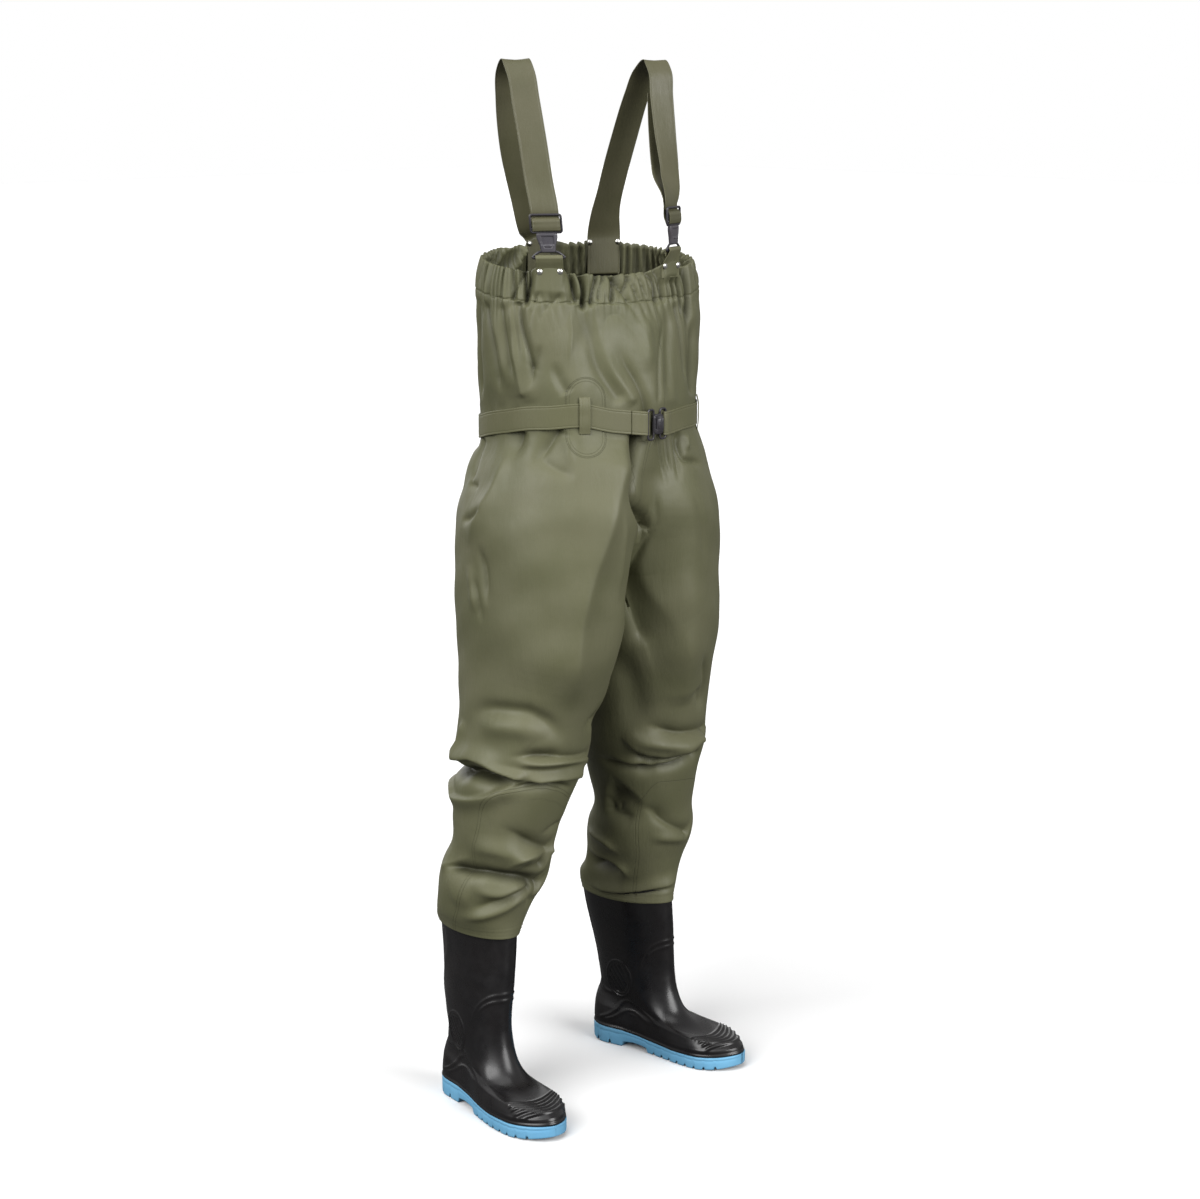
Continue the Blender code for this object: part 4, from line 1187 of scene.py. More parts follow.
    def leg_half(self, drape: Drape, side: Side, end: float) -> tuple[Array, ...]:
        """One leg half with its folds, weld ribs near the end, and the faces of the turned edge.

        Args:
            drape: Lays the folds.
            side: Which half.
            end: Height of its end.

        Returns:
            Points of the form, moved points, quads, indices on the centre line and the creases' painted
            shade.
        """
        base, quads, centre, ring = self.leg_grid(end)
        normals = vertex_normals(base, quads)
        outermost = np.argmin(base[:, 0])
        inward = normals[outermost, 0] > 0
        normals = -normals if inward else normals
        normals[centre] = unit(normals[centre] * (0, 1, 1))
        mirror = np.array([-side.value, 1.0, 1.0])
        points, outward = base * mirror, normals * mirror
        above = (points[:, 2] - end) / MM
        folded = self.draped(drape, points, outward) - points
        rib = self.cuff_rib * np.sin(2 * np.pi * above / self.cuff_pitch) * (1 - ramp(above, *self.cuff_fade))
        moved = points + folded * ramp(above, *self.cuff_free)[:, None] + outward * (rib * MM)[:, None]
        steps = [(out * MM, up * MM * UP) for out, up in self.cuff_edge]
        edge = [moved[ring] + outward[ring] * out + up for out, up in steps]
        index = np.concatenate([ring, len(base) + np.arange(len(edge) * len(ring))])
        hem = index[grid_quads(1 + len(edge), len(ring), wrap_cols=True)]
        quads = np.concatenate([quads, hem])
        if inward == (side is Side.RIGHT):
            quads = quads[:, ::-1]
        # Painted shade of the leg's creases, darker the deeper the fold
        depth = self.shade(np.sum((moved - points) * outward, axis=1) / MM, self.leg_shade)
        depth = np.concatenate([depth] + [depth[ring]] * len(edge))
        points = np.concatenate([points] + [points[ring]] * len(edge))
        return points, np.concatenate([moved] + edge), quads, centre, depth

    def build_legs(self, drape: Drape) -> list[Piece]:
        """Both leg halves; points on the shared centre line are set to the mean of the two.

        Args:
            drape: Lays folds and seams.

        Returns:
            The right half and the left.
        """
        ends = {Side.RIGHT: self.right_end, Side.LEFT: self.left_end}
        halves = {side: self.leg_half(drape, side, end) for side, end in ends.items()}
        shared = np.mean([moved[centre] for _, moved, _, centre, _ in halves.values()], axis=0)
        pieces = []
        for side, (points, moved, quads, centre, depth) in halves.items():
            moved[centre] = shared
            values = self.lines(drape, points)
            # Painted crease shade, passed to the material
            values["painted_crease_shade"] = depth
            shell = Shell(moved, quads)
            pieces.append(make_piece(f"leg_{side.label}", shell, self.finish, (), values))
        return pieces

    def build(self) -> list[Piece]:
        """Make the bib and both leg halves."""
        drape = Drape(self.form)
        return [self.build_bib(drape)] + self.build_legs(drape)


@dataclass(frozen=True)
class Seat:
    """A place on the torso with its directions across to the wearer's left and level outward."""

    place: Array
    across: Array
    out: Array
    slant: float = 0.0

    @staticmethod
    def outward(form: BodyForm, phi: Array, mid_z: float) -> Array:
        """Level outward directions of the torso: the chord over a small angle, turned by a right angle."""
        chord = form.torso_place(phi + CHORD, mid_z) - form.torso_place(phi - CHORD, mid_z)
        return unit(np.stack([chord[..., 1], -chord[..., 0], np.zeros_like(chord[..., 0])], -1))

    @staticmethod
    def on(form: BodyForm, degrees: float, mid_z: float) -> "Seat":
        """Seat at an angle from the front and a mid height.

        Args:
            form: Body that it lies on.
            degrees: Angle from the front.
            mid_z: Mid height in metres.

        Returns:
            The seat, facing outward.
        """
        phi = np.array(math.radians(degrees))
        out = Seat.outward(form, phi, mid_z)
        place = form.torso_place(phi, mid_z)
        out = out * np.sign(out[:2] @ place[:2])
        return Seat(place, np.cross(UP, out), out)

    def at(self, across: Array, rise: Array, off: Array) -> Array:
        """World places of sizes in mm across, up and outward.

        Args:
            across: Sizes to the wearer's left.
            rise: Sizes up along the slant.
            off: Sizes outward.

        Returns:
            Places in metres.
        """
        across, rise, off = np.broadcast_arrays(*(np.asarray(v, float) for v in (across, rise, off)))
        up = UP + self.slant * self.across
        sizes = across[..., None] * self.across + rise[..., None] * up + off[..., None] * self.out
        return self.place + sizes * MM

    def spun(self, degrees: float, slant: float) -> "Seat":
        """The same seat with its front swung to the wearer's right and its upright leaning to the left."""
        turn = [np.array([*turned(v[0], v[1], degrees), 0.0]) for v in (self.across, self.out)]
        return Seat(self.place, *turn, slant)

    def lean(self, form: BodyForm, degrees: float, mid_z: float) -> float:
        """How far outward in mm the torso lies at another mid height."""
        other = form.torso_place(np.array(math.radians(degrees)), np.array(mid_z))
        return float((other - self.place) @ self.out) / MM


def swept(place: Array, across: Array, off: Array, profile: Array) -> Array:
    """Rings of a profile of (across, off) sizes in mm, carried along places with their directions."""
    sizes = np.broadcast_to(profile, (len(place),) + profile.shape[-2:]) * MM
    return place[:, None] + sizes[..., :1] * across[:, None] + sizes[..., 1:] * off[:, None]


def band_profile(width: float, thick: float, inset: float = 3.0, groove: float = 0.3) -> Array:
    """Closed cross section of a welded band in mm, as (across, off).

    Each face lies at half the thickness, rounds off over the outer millimetre, and has a bell-shaped groove
    at an inset from each edge.

    Args:
        width: Width of the band.
        thick: Its thickness.
        inset: Distance of the groove from the edge.
        groove: Depth of the groove.

    Returns:
        Points round the section.
    """
    rounding, groove_half, groove_span, beyond = 0.9, 0.55, 1.2, 4.0
    rim = (0.0, 0.12, 0.4, rounding, 1.6)
    from_edge = np.concatenate([rim, inset + np.linspace(-groove_span, groove_span, 7), (inset + beyond,)])
    from_edge = np.concatenate([from_edge[from_edge < width / 2 - 0.5], [width / 2]])
    half = thick / 2 * np.sqrt(1 - np.clip(1 - from_edge / rounding, 0.0, 1.0) ** 2)
    half = half - groove * bell(from_edge - inset, groove_half)
    x = np.concatenate([from_edge - width / 2, (width / 2 - from_edge)[-2::-1]])
    y = np.concatenate([half, half[-2::-1]])
    return np.concatenate([np.column_stack([x, y]), np.column_stack([x, -y])[-2:0:-1]])


def round_corners(corners: Path, radius: float, steps: int = 7) -> Array:
    """Closed outline through corners, each replaced by a parabola that starts a radius before it.

    Args:
        corners: Corners in order.
        radius: Where each curve starts.
        steps: Points on each curve.

    Returns:
        Points round the outline.
    """
    c = np.asarray(corners, float)
    before = c + unit(np.roll(c, 1, axis=0) - c) * radius
    after = c + unit(np.roll(c, -1, axis=0) - c) * radius
    t = np.linspace(0.0, 1.0, steps)[None, :, None]
    curve = (1 - t) ** 2 * before[:, None] + 2 * t * (1 - t) * c[:, None] + t ** 2 * after[:, None]
    return curve.reshape(-1, 2)


def rod(path: Array, normal: Array, half: Pair, closed: bool) -> Shell:
    """Rod of an elliptical section along a flat path.

    The ellipse lies in the plane of the path's normal and of the direction square to it and to the path.

    Args:
        path: Points of the path.
        normal: Direction square to the path's plane.
        half: Half sizes in the path's plane and along the normal, in mm.
        closed: Whether the last point joins the first; an open rod is straight and has caps.

    Returns:
        The rod as a closed body.
    """
    if closed:
        tangent = unit(np.roll(path, -1, axis=0) - np.roll(path, 1, axis=0))
    else:
        tangent = np.broadcast_to(unit(path[-1] - path[0]), path.shape)
    a = np.linspace(0.0, 2 * np.pi, ROD_SIDES, endpoint=False)
    section = np.column_stack([np.cos(a), np.sin(a)]) * half
    rings = swept(path, np.cross(normal, tangent), np.broadcast_to(normal, path.shape), section)
    return Shell.tube(rings, closed).outward()


@dataclass(frozen=True)
class RodLoop:
    """A closed loop of rod in a seat's plane; corners are (across, rise), and all sizes are mm."""

    corners: Path
    radius: float
    off: float
    half: Pair

    def shell(self, seat: Seat, rise: float = 0.0) -> Shell:
        """The rod along the rounded corners, lifted by a rise."""
        across, up = round_corners(self.corners, self.radius).T
        return rod(seat.at(across, rise + up, self.off), seat.out, self.half, True)


def pillow(seat: Seat, outline: Array, low: float, high: float, relief: Relief) -> Shell:
    """Moulded plate: an outline that shrinks to its middle over the back and the front, with a round rim.

    Args:
        seat: Seat that the sizes are measured in.
        outline: Closed outline of (across, rise) in mm.
        low: How far outward the back face lies, in mm.
        high: How far outward the front face lies.
        relief: Height in mm that the front face gains at (across, rise).

    Returns:
        The plate as a closed body.
    """
    # Share of the outline that the rim's rounding takes, the innermost share, and the back's coarser step
    edge, core, coarse = 0.12, 0.03, 5
    angle = np.radians(np.linspace(-90.0, 90.0, 11))[1:-1]
    flat = np.linspace(core, 1 - edge, 26)
    back = flat[::coarse]
    scale = np.concatenate([back, 1 - edge + edge * np.cos(angle), flat[::-1]])
    share = np.concatenate([np.zeros(len(back)), 0.5 + 0.5 * np.sin(angle), np.ones(len(flat))])
    middle = outline.mean(axis=0)
    across, rise = np.moveaxis(middle + scale[:, None, None] * (outline - middle)[None], -1, 0)
    lift = np.clip(share * 2 - 1, 0.0, 1.0)[:, None]
    off = (low + (high - low) * share)[:, None] + lift * relief(across, rise)
    return Shell.tube(seat.at(across, rise, off)).outward()


def block(x: Array, half: float, soft: float = 1.2) -> Array:
    """1 within a half width of nought and 0 outside, eased over a soft margin."""
    return 1 - ease((np.abs(x) - half + soft / 2) / soft)


@dataclass
class Belt:
    """Waist belt with folded ends, two loops and a three-piece buckle; sizes in mm."""

    form: BodyForm
    cloth: Material
    plastic: Material
    mid_z: float = 1.147
    height: float = 38.0
    thick: float = 1.8
    off: float = 0.6
    buckle_deg: float = -1.0
    rod_off: float = 4.3
    # Folded ends beside the buckle: degrees from the fold's edge, off
    fold: Path = (
        (8.4, 3.4), (6.4, 3.5), (4.4, 4.6), (2.8, 6.5), (1.1, 6.9), (0.1, 5.8), (-0.2, 4.2), (0.1, 2.6),
        (1.1, 1.7), (3.4, 1.5),
    )
    edges_deg: Pair = (4.1, -3.2)
    # Plain way round the body: degrees from the folds' edges to its ends, and its rows
    plain_deg: float = 8.0
    plain_rows: int = 60
    row_samples: int = 6
    # Upright waves of the band: height, count, phase
    sway: Table = ((0.7, 5, 1.0), (0.5, 11, 0.4))
    # Grooves: distance from the edge, depth
    groove: Pair = (3.6, 0.35)
    loop_groove: Pair = (4.0, 0.35)
    loops: tuple[tuple[Side, float], ...] = ((Side.RIGHT, 37.0), (Side.LEFT, -50.0))
    loop_width: float = 18.0
    loop_height: float = 58.0
    loop_thick: float = 1.4
    # Clear spaces of a loop over the belt and over the cloth, its bow, and its shoulder beside the belt
    loop_clear: float = 0.8
    loop_seat: float = 0.5
    loop_bow: float = 0.5
    loop_shoulder: float = 6.0
    # Shares of the end's and of the middle's distance at the shoulder
    shoulder_shares: Pair = (0.4, 0.5)
    loop_samples: int = 60
    # Buckle: rods in the folded ends as side, nearer and farther edge
    rods: tuple[tuple[Side, float, float], ...] = ((Side.RIGHT, -11.0, -23.5), (Side.LEFT, 3.5, 16.5))
    rod_high: float = 24.0
    rod_corner: float = 5.0
    rod_half: Pair = (1.9, 1.7)
    # Buckle body: outline, corner radius, half thickness
    body: Path = (
        (-12.5, -13), (-8, -16.5), (6, -16.5), (10, -12), (10, 12), (6, 16.5), (-8, 16.5), (-12.5, 13),
    )
    body_corner: float = 3.0
    body_half: float = 3.2
    # Dome: middle across, half sizes, height
    dome_across: float = 3.0
    dome_half: Pair = (7.5, 13.0)
    dome_rise: float = 2.4
    # Ribs on the dome: depth, pitch, sharpness, half area
    rib_depth: float = 0.7
    rib_pitch: float = 3.2
    rib_power: int = 6
    rib_half: Pair = (6.0, 10.0)
    # Slot beside the dome: middle across, half sizes, depth
    slot_across: float = -7.5
    slot_half: Pair = (1.5, 8.5)
    slot_depth: float = 2.6

    def build_band(self) -> None:
        """Belt with both ends folded round the buckle's loops: the welded section, its width upright.

        The way runs in degrees round the waist and mm off it, from one folded end round to the other.
        """
        right, left = (self.buckle_deg + edge for edge in self.edges_deg)
        left += 360.0
        rows = [(right + away, off) for away, off in self.fold]
        plain = np.linspace(right + self.plain_deg, left - self.plain_deg, self.plain_rows)
        rows += [(angle, self.fold[-1][1]) for angle in plain]
        rows += [(left - away, off) for away, off in self.fold[::-1]]
        degrees, off = np.array(rows).T
        phi = np.radians(degrees)
        place = self.form.torso_place(phi, self.mid_z)
        out = Seat.outward(self.form, phi, self.mid_z)
        out = out * np.sign(np.sum(out * place, axis=1, keepdims=True))
        place = place + out * (off * MM)[:, None] + (waves(self.sway, phi) * MM)[:, None] * UP
        at, place = row_line(place, self.row_samples * len(place))
        up = np.broadcast_to(UP, place.shape)
        face = unit(np.cross(np.gradient(place, at, axis=0), up))
        shell = Shell.tube(swept(place, up, face, band_profile(self.height, self.thick, *self.groove)))
        make_piece("waist_belt", shell.outward(), self.cloth, ("belt",))

    def build_loop(self, label: str, degrees: float) -> None:
        """Belt loop: a short band that leaves the cloth below the belt, stands over it and returns above.

        Args:
            label: Side, for the names.
            degrees: Angle from the front.
        """
        seat = Seat.on(self.form, degrees, self.mid_z)
        high, belt = self.loop_height / 2, self.height / 2
        far = self.off + self.thick + self.loop_thick / 2 + self.loop_clear
        near = self.loop_thick / 2 + self.loop_seat
        low, top = (seat.lean(self.form, degrees, self.mid_z + rise * MM) + near for rise in (-high, high))
        end_share, far_share = self.shoulder_shares
        side = belt + self.loop_shoulder
        low_side, top_side = (end * end_share + far * far_share for end in (low, top))
        rows = ((-high, low), (-side, low_side), (-belt, far), (0, far + self.loop_bow), (belt, far),
                (side, top_side), (high, top))
        path = smooth_line(rows, self.loop_samples)
        step = unit(np.gradient(path, axis=0))
        face = -step[:, 1:] * UP + step[:, :1] * seat.out
        place = seat.at(0.0, path[:, 0], path[:, 1])
        across = np.broadcast_to(seat.across, place.shape)
        profile = band_profile(self.loop_width, self.loop_thick, *self.loop_groove)
        shell = Shell.tube(swept(place, across, face, profile))
        make_piece(f"{label}_belt_loop", shell.outward(), self.cloth, (f"belt_loop_{label}",))

    def dome(self, x: Array, y: Array) -> Array:
        """Relief of the buckle body: an oval dome with upright ribs, and a slot beside it.

        Args:
            x: Sizes across from the seat.
            y: Sizes up from the seat.

        Returns:
            Heights in mm.
        """
        ahead = x - self.dome_across
        wide, high = self.dome_half
        oval = np.clip(1 - np.hypot(ahead / wide, y / high) ** 2, 0.0, 1.0)
        ribs = self.rib_depth * np.abs(np.cos(np.pi * ahead / self.rib_pitch)) ** self.rib_power
        ribs = ribs * block(ahead, self.rib_half[0]) * block(y, self.rib_half[1])
        slot = block(x - self.slot_across, self.slot_half[0]) * block(y, self.slot_half[1])
        return self.dome_rise * np.sqrt(oval) - ribs - self.slot_depth * slot

    def build_buckle(self) -> None:
        """Fastened buckle: two rod loops in the belt's folded ends, and the domed body between them."""
        seat = Seat.on(self.form, self.buckle_deg, self.mid_z)
        off, high = self.rod_off, self.rod_high
        for side, near, far in self.rods:
            label = side.label
            corners = ((near, -high), (far, -high), (far, high), (near, high))
            loop = RodLoop(corners, self.rod_corner, off, self.rod_half).shell(seat)
            make_piece(f"{label}_belt_buckle_loop", loop, self.plastic,
                       (f"belt_buckle_{label}",))
        outline = round_corners(self.body, self.body_corner)
        body = pillow(seat, outline, off - self.body_half, off + self.body_half, self.dome)
        make_piece("belt_buckle_latch", body, self.plastic, ("belt_buckle_body",))

    def build(self) -> None:
        """Make the band, the loops and the buckle."""
        self.build_band()
        for side, degrees in self.loops:
            self.build_loop(side.label, degrees)
        self.build_buckle()


# Strap rows in metres: place x, y, z, turn of the outer face to the right, slack of the return ply behind it
RIGHT_STRAP: Table = (
    (-0.1526, -0.0454, 1.53, 40, 0.004),
    (-0.15, -0.028, 1.595, 40, 0.004),
    (-0.1465, -0.0085, 1.66, 40, 0.004),
    (-0.1425, 0.006, 1.7, 40, 0),
    (-0.137, 0.0245, 1.719, 40, 0),
    (-0.129, 0.0455, 1.701, 40, 0),
    (-0.12, 0.0565, 1.66, 36, 0),
    (-0.1045, 0.0665, 1.595, 32, 0),
    (-0.063, 0.085, 1.505, 24, 0),
    (-0.034, 0.1, 1.455, 10, 0),
)
LEFT_STRAP: Table = (
    (0.091, -0.093, 1.545, -5, 0.018),
    (0.099, -0.075, 1.605, 7, 0.015),
    (0.108, -0.058, 1.665, 13, 0.008),
    (0.113, -0.049, 1.702, 16, 0),
    (0.115, -0.035, 1.718, 16, 0),
    (0.114, -0.017, 1.703, 18, 0),
    (0.112, 0.001, 1.665, 24, 0),
    (0.111, 0.028, 1.598, 30, 0),
    (0.11, 0.056, 1.52, 30, 0),
    (0.111, 0.074, 1.462, 25, 0),
)


@dataclass
class Strap:
    """One shoulder strap with its front tab, three-piece buckle and rivets; sizes in mm unless named."""

    side: Side
    form: BodyForm
    cloth: Material
    tab_cloth: Material
    plastic: Material
    latch_plastic: Material
    metal: Material
    rows: Table
    tab_deg: float
    back_deg: float
    hollow: float
    bar: float
    # Turn of the buckle to the wearer's right against the hem, degrees
    spin: float
    # Sideways lean of the buckle to the wearer's left per rise
    slant: float
    rivet_up: float
    end_width: float
    width: float = 44.0
    thick: float = 1.6
    tab_width: float = 43.0
    tab_length: float = 12.0
    hem_radius: float = 230.0
    cloth_wall: float = 1.2
    gap: float = 0.3
    rivet_radius: float = 4.6
    rivet_rise: float = 2.2
    rivet_sides: int = 28
    # Rivet head: shares of the radius and of the rise
    rivet_head: Path = (
        (1, 0), (1, 0.22), (0.96, 0.3), (0.9, 0.32), (0.84, 0.52), (0.7, 0.78), (0.5, 0.93),
        (0.25, 0.99), (0.05, 1),
    )
    # Front rivets: aside; back rivets: from the strap's edge, and rise
    rivet_aside: float = 16.0
    rivet_edge: float = 4.5
    back_rivet_up: float = 5.0
    # Back end: drop of its seat below the rim in metres, and the rises of its rows
    back_drop: float = 0.004
    back_rises: Sizes = (13.0, 2.0, -10.0, -24.0, -48.0)
    # Widening towards the back end: distance from the end in metres where it is done, and its length
    flare: Pair = (0.055, 0.090)
    stations: int = 270
    tab_rows: int = 4
    tab_samples: int = 100
    # Height at which the tab stops bending with the hem, and the length over which it stops
    bend_top: float = 8.0
    bend_length: float = 10.0
    # Buckle parts; rises are over the loop's bar
    loop: RodLoop = RodLoop(
        ((-27.0, -0.2), (27.0, -0.2), (14.5, 9.5), (-14.5, 9.5)), radius=4.5, off=2.2, half=(2.0, 1.7),
    )
    adjuster: RodLoop = RodLoop(
        ((-24.2, 39.2), (24.2, 39.2), (24.2, 66.6), (-24.2, 66.6)), radius=4.0, off=2.4, half=(1.9, 2.0),
    )
    # Bar of the adjuster: half length, rise, half sizes, points
    bar_reach: float = 24.0
    bar_rise: float = 45.0
    bar_half: Pair = (2.0, 1.9)
    bar_points: int = 4
    latch: Path = (
        (-11.5, 8), (11.5, 8), (12.5, 18), (16.5, 30.4), (16.5, 38.4), (-16.5, 38.4), (-16.5, 30.4),
        (-12.5, 18),
    )
    latch_corner: float = 3.0
    latch_low: float = -1.2
    latch_high: float = 6.8
    latch_top: float = 38.4
    # Thumb recess: drop below the latch's top, half sizes, softness, depth
    recess_drop: float = 11.5
    recess_half: Pair = (9.5, 7.0)
    recess_soft: float = 2.0
    recess_depth: float = 2.2
    # Slot on a circle: drop of its middle, radius, half width, depth, drop and length of its onset
    slot_drop: float = 15.0
    slot_radius: float = 8.6
    slot_half: float = 0.9
    slot_depth: float = 1.4
    slot_onset: Pair = (19.5, 2.0)
    # Fall of the latch's face to its sides, per squared mm
    latch_crown: float = 0.006
    # Way through the adjuster: rise over the loop's bar, outward
    wrap: Path = (
        (68, -4.6), (60, -4.8), (51, -4), (45, -1.8), (42.3, -0.6), (41.4, 2.4), (42.2, 5.2),
        (45, 6), (52, 6), (57, 5.4), (60, 2.8), (62.8, -0.6), (66, -1.4), (72, -1.5),
    )
    # Way of the front tab round the loop's bar: rise over the bar, outward
    tab_wrap: Path = (
        (-4, 5.2), (-0.5, 6.3), (2.8, 4.8), (3.6, 2.2), (2.8, -0.4), (-0.5, -1.9), (-4, -1.2),
        (-10, -0.4),
    )

    def buckle_seat(self) -> Seat:
        """Seat of the buckle over the rim, with its turn and lean."""
        return Seat.on(self.form, self.tab_deg, self.form.rim_z).spun(self.spin, self.slant)

    def back_end(self) -> list[tuple[float, ...]]:
        """Rows of the strap's end inside the back hem; the two rivets there are made with it.

        Returns:
            Places in metres, each with its turn in degrees.
        """
        seat = Seat.on(self.form, self.back_deg, self.form.rim_z - self.back_drop)
        inner = -(self.cloth_wall + self.gap + self.thick / 2 + self.hollow)
        turn = math.degrees(math.atan2(seat.across[1], -seat.across[0]))
        for letter, side in (("a", -1.0), ("b", 1.0)):
            aside = side * (self.end_width / 2 - self.rivet_edge)
            place = seat.at(aside, self.back_rivet_up, inner - self.thick / 2 - self.gap)
            self.build_rivet(f"back_{letter}", place, -seat.out)
        return [tuple(seat.at(0.0, rise, inner)) + (turn,) for rise in self.back_rises]

    def build_band(self) -> None:
        """The strap: return ply, way through the adjuster, over the shoulder and down inside the back hem.

        The welded section is carried along smooth rows of place and face turn.
        """
        seat = self.buckle_seat()
        turn = math.degrees(math.atan2(-seat.across[1], seat.across[0]))
        wrap = [tuple(seat.at(0.0, self.bar + rise, off)) + (turn,) for rise, off in self.wrap]
        slack = [row for row in self.rows if row[4] > 0][::-1]
        reverse = [(x + s * math.sin(math.radians(a)), y + s * math.cos(math.radians(a)), z, a)
                   for x, y, z, a, s in slack]
        rows = reverse + wrap + [row[:4] for row in self.rows] + self.back_end()
        at, columns = row_line(rows, self.stations)
        place, face_turn = columns[:, :3], np.radians(columns[:, 3])
        tangent = unit(np.gradient(place, at, axis=0))
        level = np.stack([np.cos(face_turn), -np.sin(face_turn), np.zeros_like(face_turn)], -1)
        level = unit(level - tangent * np.sum(level * tangent, axis=1, keepdims=True))
        wider = 1 + (self.end_width / self.width - 1) * (1 - ramp(at[-1] - at, *self.flare))
        scale = np.stack([wider, np.ones_like(wider)], -1)
        profile = band_profile(self.width, self.thick)[None] * scale[:, None]
        shell = Shell.tube(swept(place, level, np.cross(level, tangent), profile)).outward()
        label = self.side.label
        make_piece(f"{label}_shoulder_strap", shell, self.cloth, (f"strap_{label}",))

    def build_tab(self) -> None:
        """Front tab: up inside the hem, over the loop's bar and down behind it, with two rivets.

        Its lower part bends with the hem; its upper part turns with the buckle.
        """
        seat = Seat.on(self.form, self.tab_deg, self.form.rim_z)
        inside = -(self.cloth_wall + self.gap + self.thick / 2)
        rim = self.form.rim_z
        rises = np.linspace(-self.tab_length, self.rivet_up, self.tab_rows)
        rows = [(rise, seat.lean(self.form, self.tab_deg, rim + rise * MM) + inside) for rise in rises]
        rows += [(self.bar + rise, off) for rise, off in self.tab_wrap]
        path = smooth_line(rows, self.tab_samples)
        step = unit(np.gradient(path, axis=0))
        spun = self.buckle_seat()
        turn = ease(path[:, :1] / self.bar)
        across = unit(seat.across * (1 - turn) + spun.across * turn)
        out = unit(seat.out * (1 - turn) + spun.out * turn)
        face = -step[:, 1:] * UP + step[:, :1] * out
        place = seat.at(0.0, path[:, 0], 0.0) * (1 - turn) + spun.at(0.0, path[:, 0], 0.0) * turn
        place = place + out * (path[:, 1:] * MM)
        profile = np.repeat(band_profile(self.tab_width, self.thick)[None], len(path), axis=0)
        bend = ease((self.bend_top - path[:, 0]) / self.bend_length) / (2 * self.hem_radius)
        profile[..., 1] -= bend[:, None] * profile[..., 0] ** 2
        label = self.side.label
        shell = Shell.tube(swept(place, across, face, profile)).outward()
        make_piece(f"{label}_hem_tab", shell, self.tab_cloth, (f"strap_tab_{label}",))
        lean = seat.lean(self.form, self.tab_deg, rim + min(self.rivet_up, 0.0) * MM)
        for letter, side in (("a", -self.rivet_aside), ("b", self.rivet_aside)):
            place = seat.at(side, self.rivet_up, lean + self.gap - side ** 2 / (2 * self.hem_radius))
            self.build_rivet(f"front_{letter}", place, seat.out)

    def build_rivet(self, where: str, place: Array, axis: Array) -> None:
        """Rivet head: a low dome with a thin flange, turned about its axis.

        Args:
            where: End of its name.
            place: Middle of its foot.
            axis: Direction of its head.
        """
        side = unit(np.cross(axis, UP))
        other = np.cross(axis, side)
        a = np.linspace(0.0, 2 * np.pi, self.rivet_sides, endpoint=False)[None, :, None]
        radius, height = np.array(self.rivet_head).T[:, :, None, None] * MM
        ring = np.cos(a) * side + np.sin(a) * other
        rings = place + radius * self.rivet_radius * ring + height * self.rivet_rise * axis
        label = self.side.label
        make_piece(f"{label}_rivet_{where}", Shell.tube(rings).outward(), self.metal,
                   (f"rivet_{label}_{where}",))

    def latch_relief(self, x: Array, y: Array) -> Array:
        """Thumb recess as a soft box, a slot along the lower half of a circle, and a slight crown.

        Args:
            x: Sizes across from the seat.
            y: Sizes up from the seat.

        Returns:
            Heights in mm.
        """
        drop = self.latch_top + self.bar - y
        wide, high = self.recess_half
        recess = block(x, wide, self.recess_soft) * block(drop - self.recess_drop, high, self.recess_soft)
        away = np.hypot(x, drop - self.slot_drop) - self.slot_radius
        slot = block(away, self.slot_half) * ramp(drop, *self.slot_onset)
        return -self.recess_depth * recess - self.slot_depth * slot - self.latch_crown * x * x

    def build_buckle(self) -> None:
        """Buckle: rod loop in the tab, latch with its relief, and the adjuster's frame with its bar."""
        seat = self.buckle_seat()
        outline = round_corners(self.latch, self.latch_corner) + (0.0, self.bar)
        latch = pillow(seat, outline, self.latch_low, self.latch_high, self.latch_relief)
        reach = np.linspace(-self.bar_reach, self.bar_reach, self.bar_points)
        bar = rod(seat.at(reach, self.bar + self.bar_rise, self.adjuster.off), seat.out, self.bar_half, False)
        adjuster = Shell.joined([self.adjuster.shell(seat, self.bar), bar])
        for part, shell, finish in (
            ("loop", self.loop.shell(seat, self.bar), self.plastic),
            ("latch", latch, self.latch_plastic),
            ("adjuster", adjuster, self.plastic),
        ):
            label = self.side.label
            make_piece(f"{label}_buckle_{part}", shell, finish, (f"buckle_{label}_{part}",))

    def build(self) -> None:
        """Make the strap, its tab and its buckle."""
        self.build_band()
        self.build_tab()
        self.build_buckle()


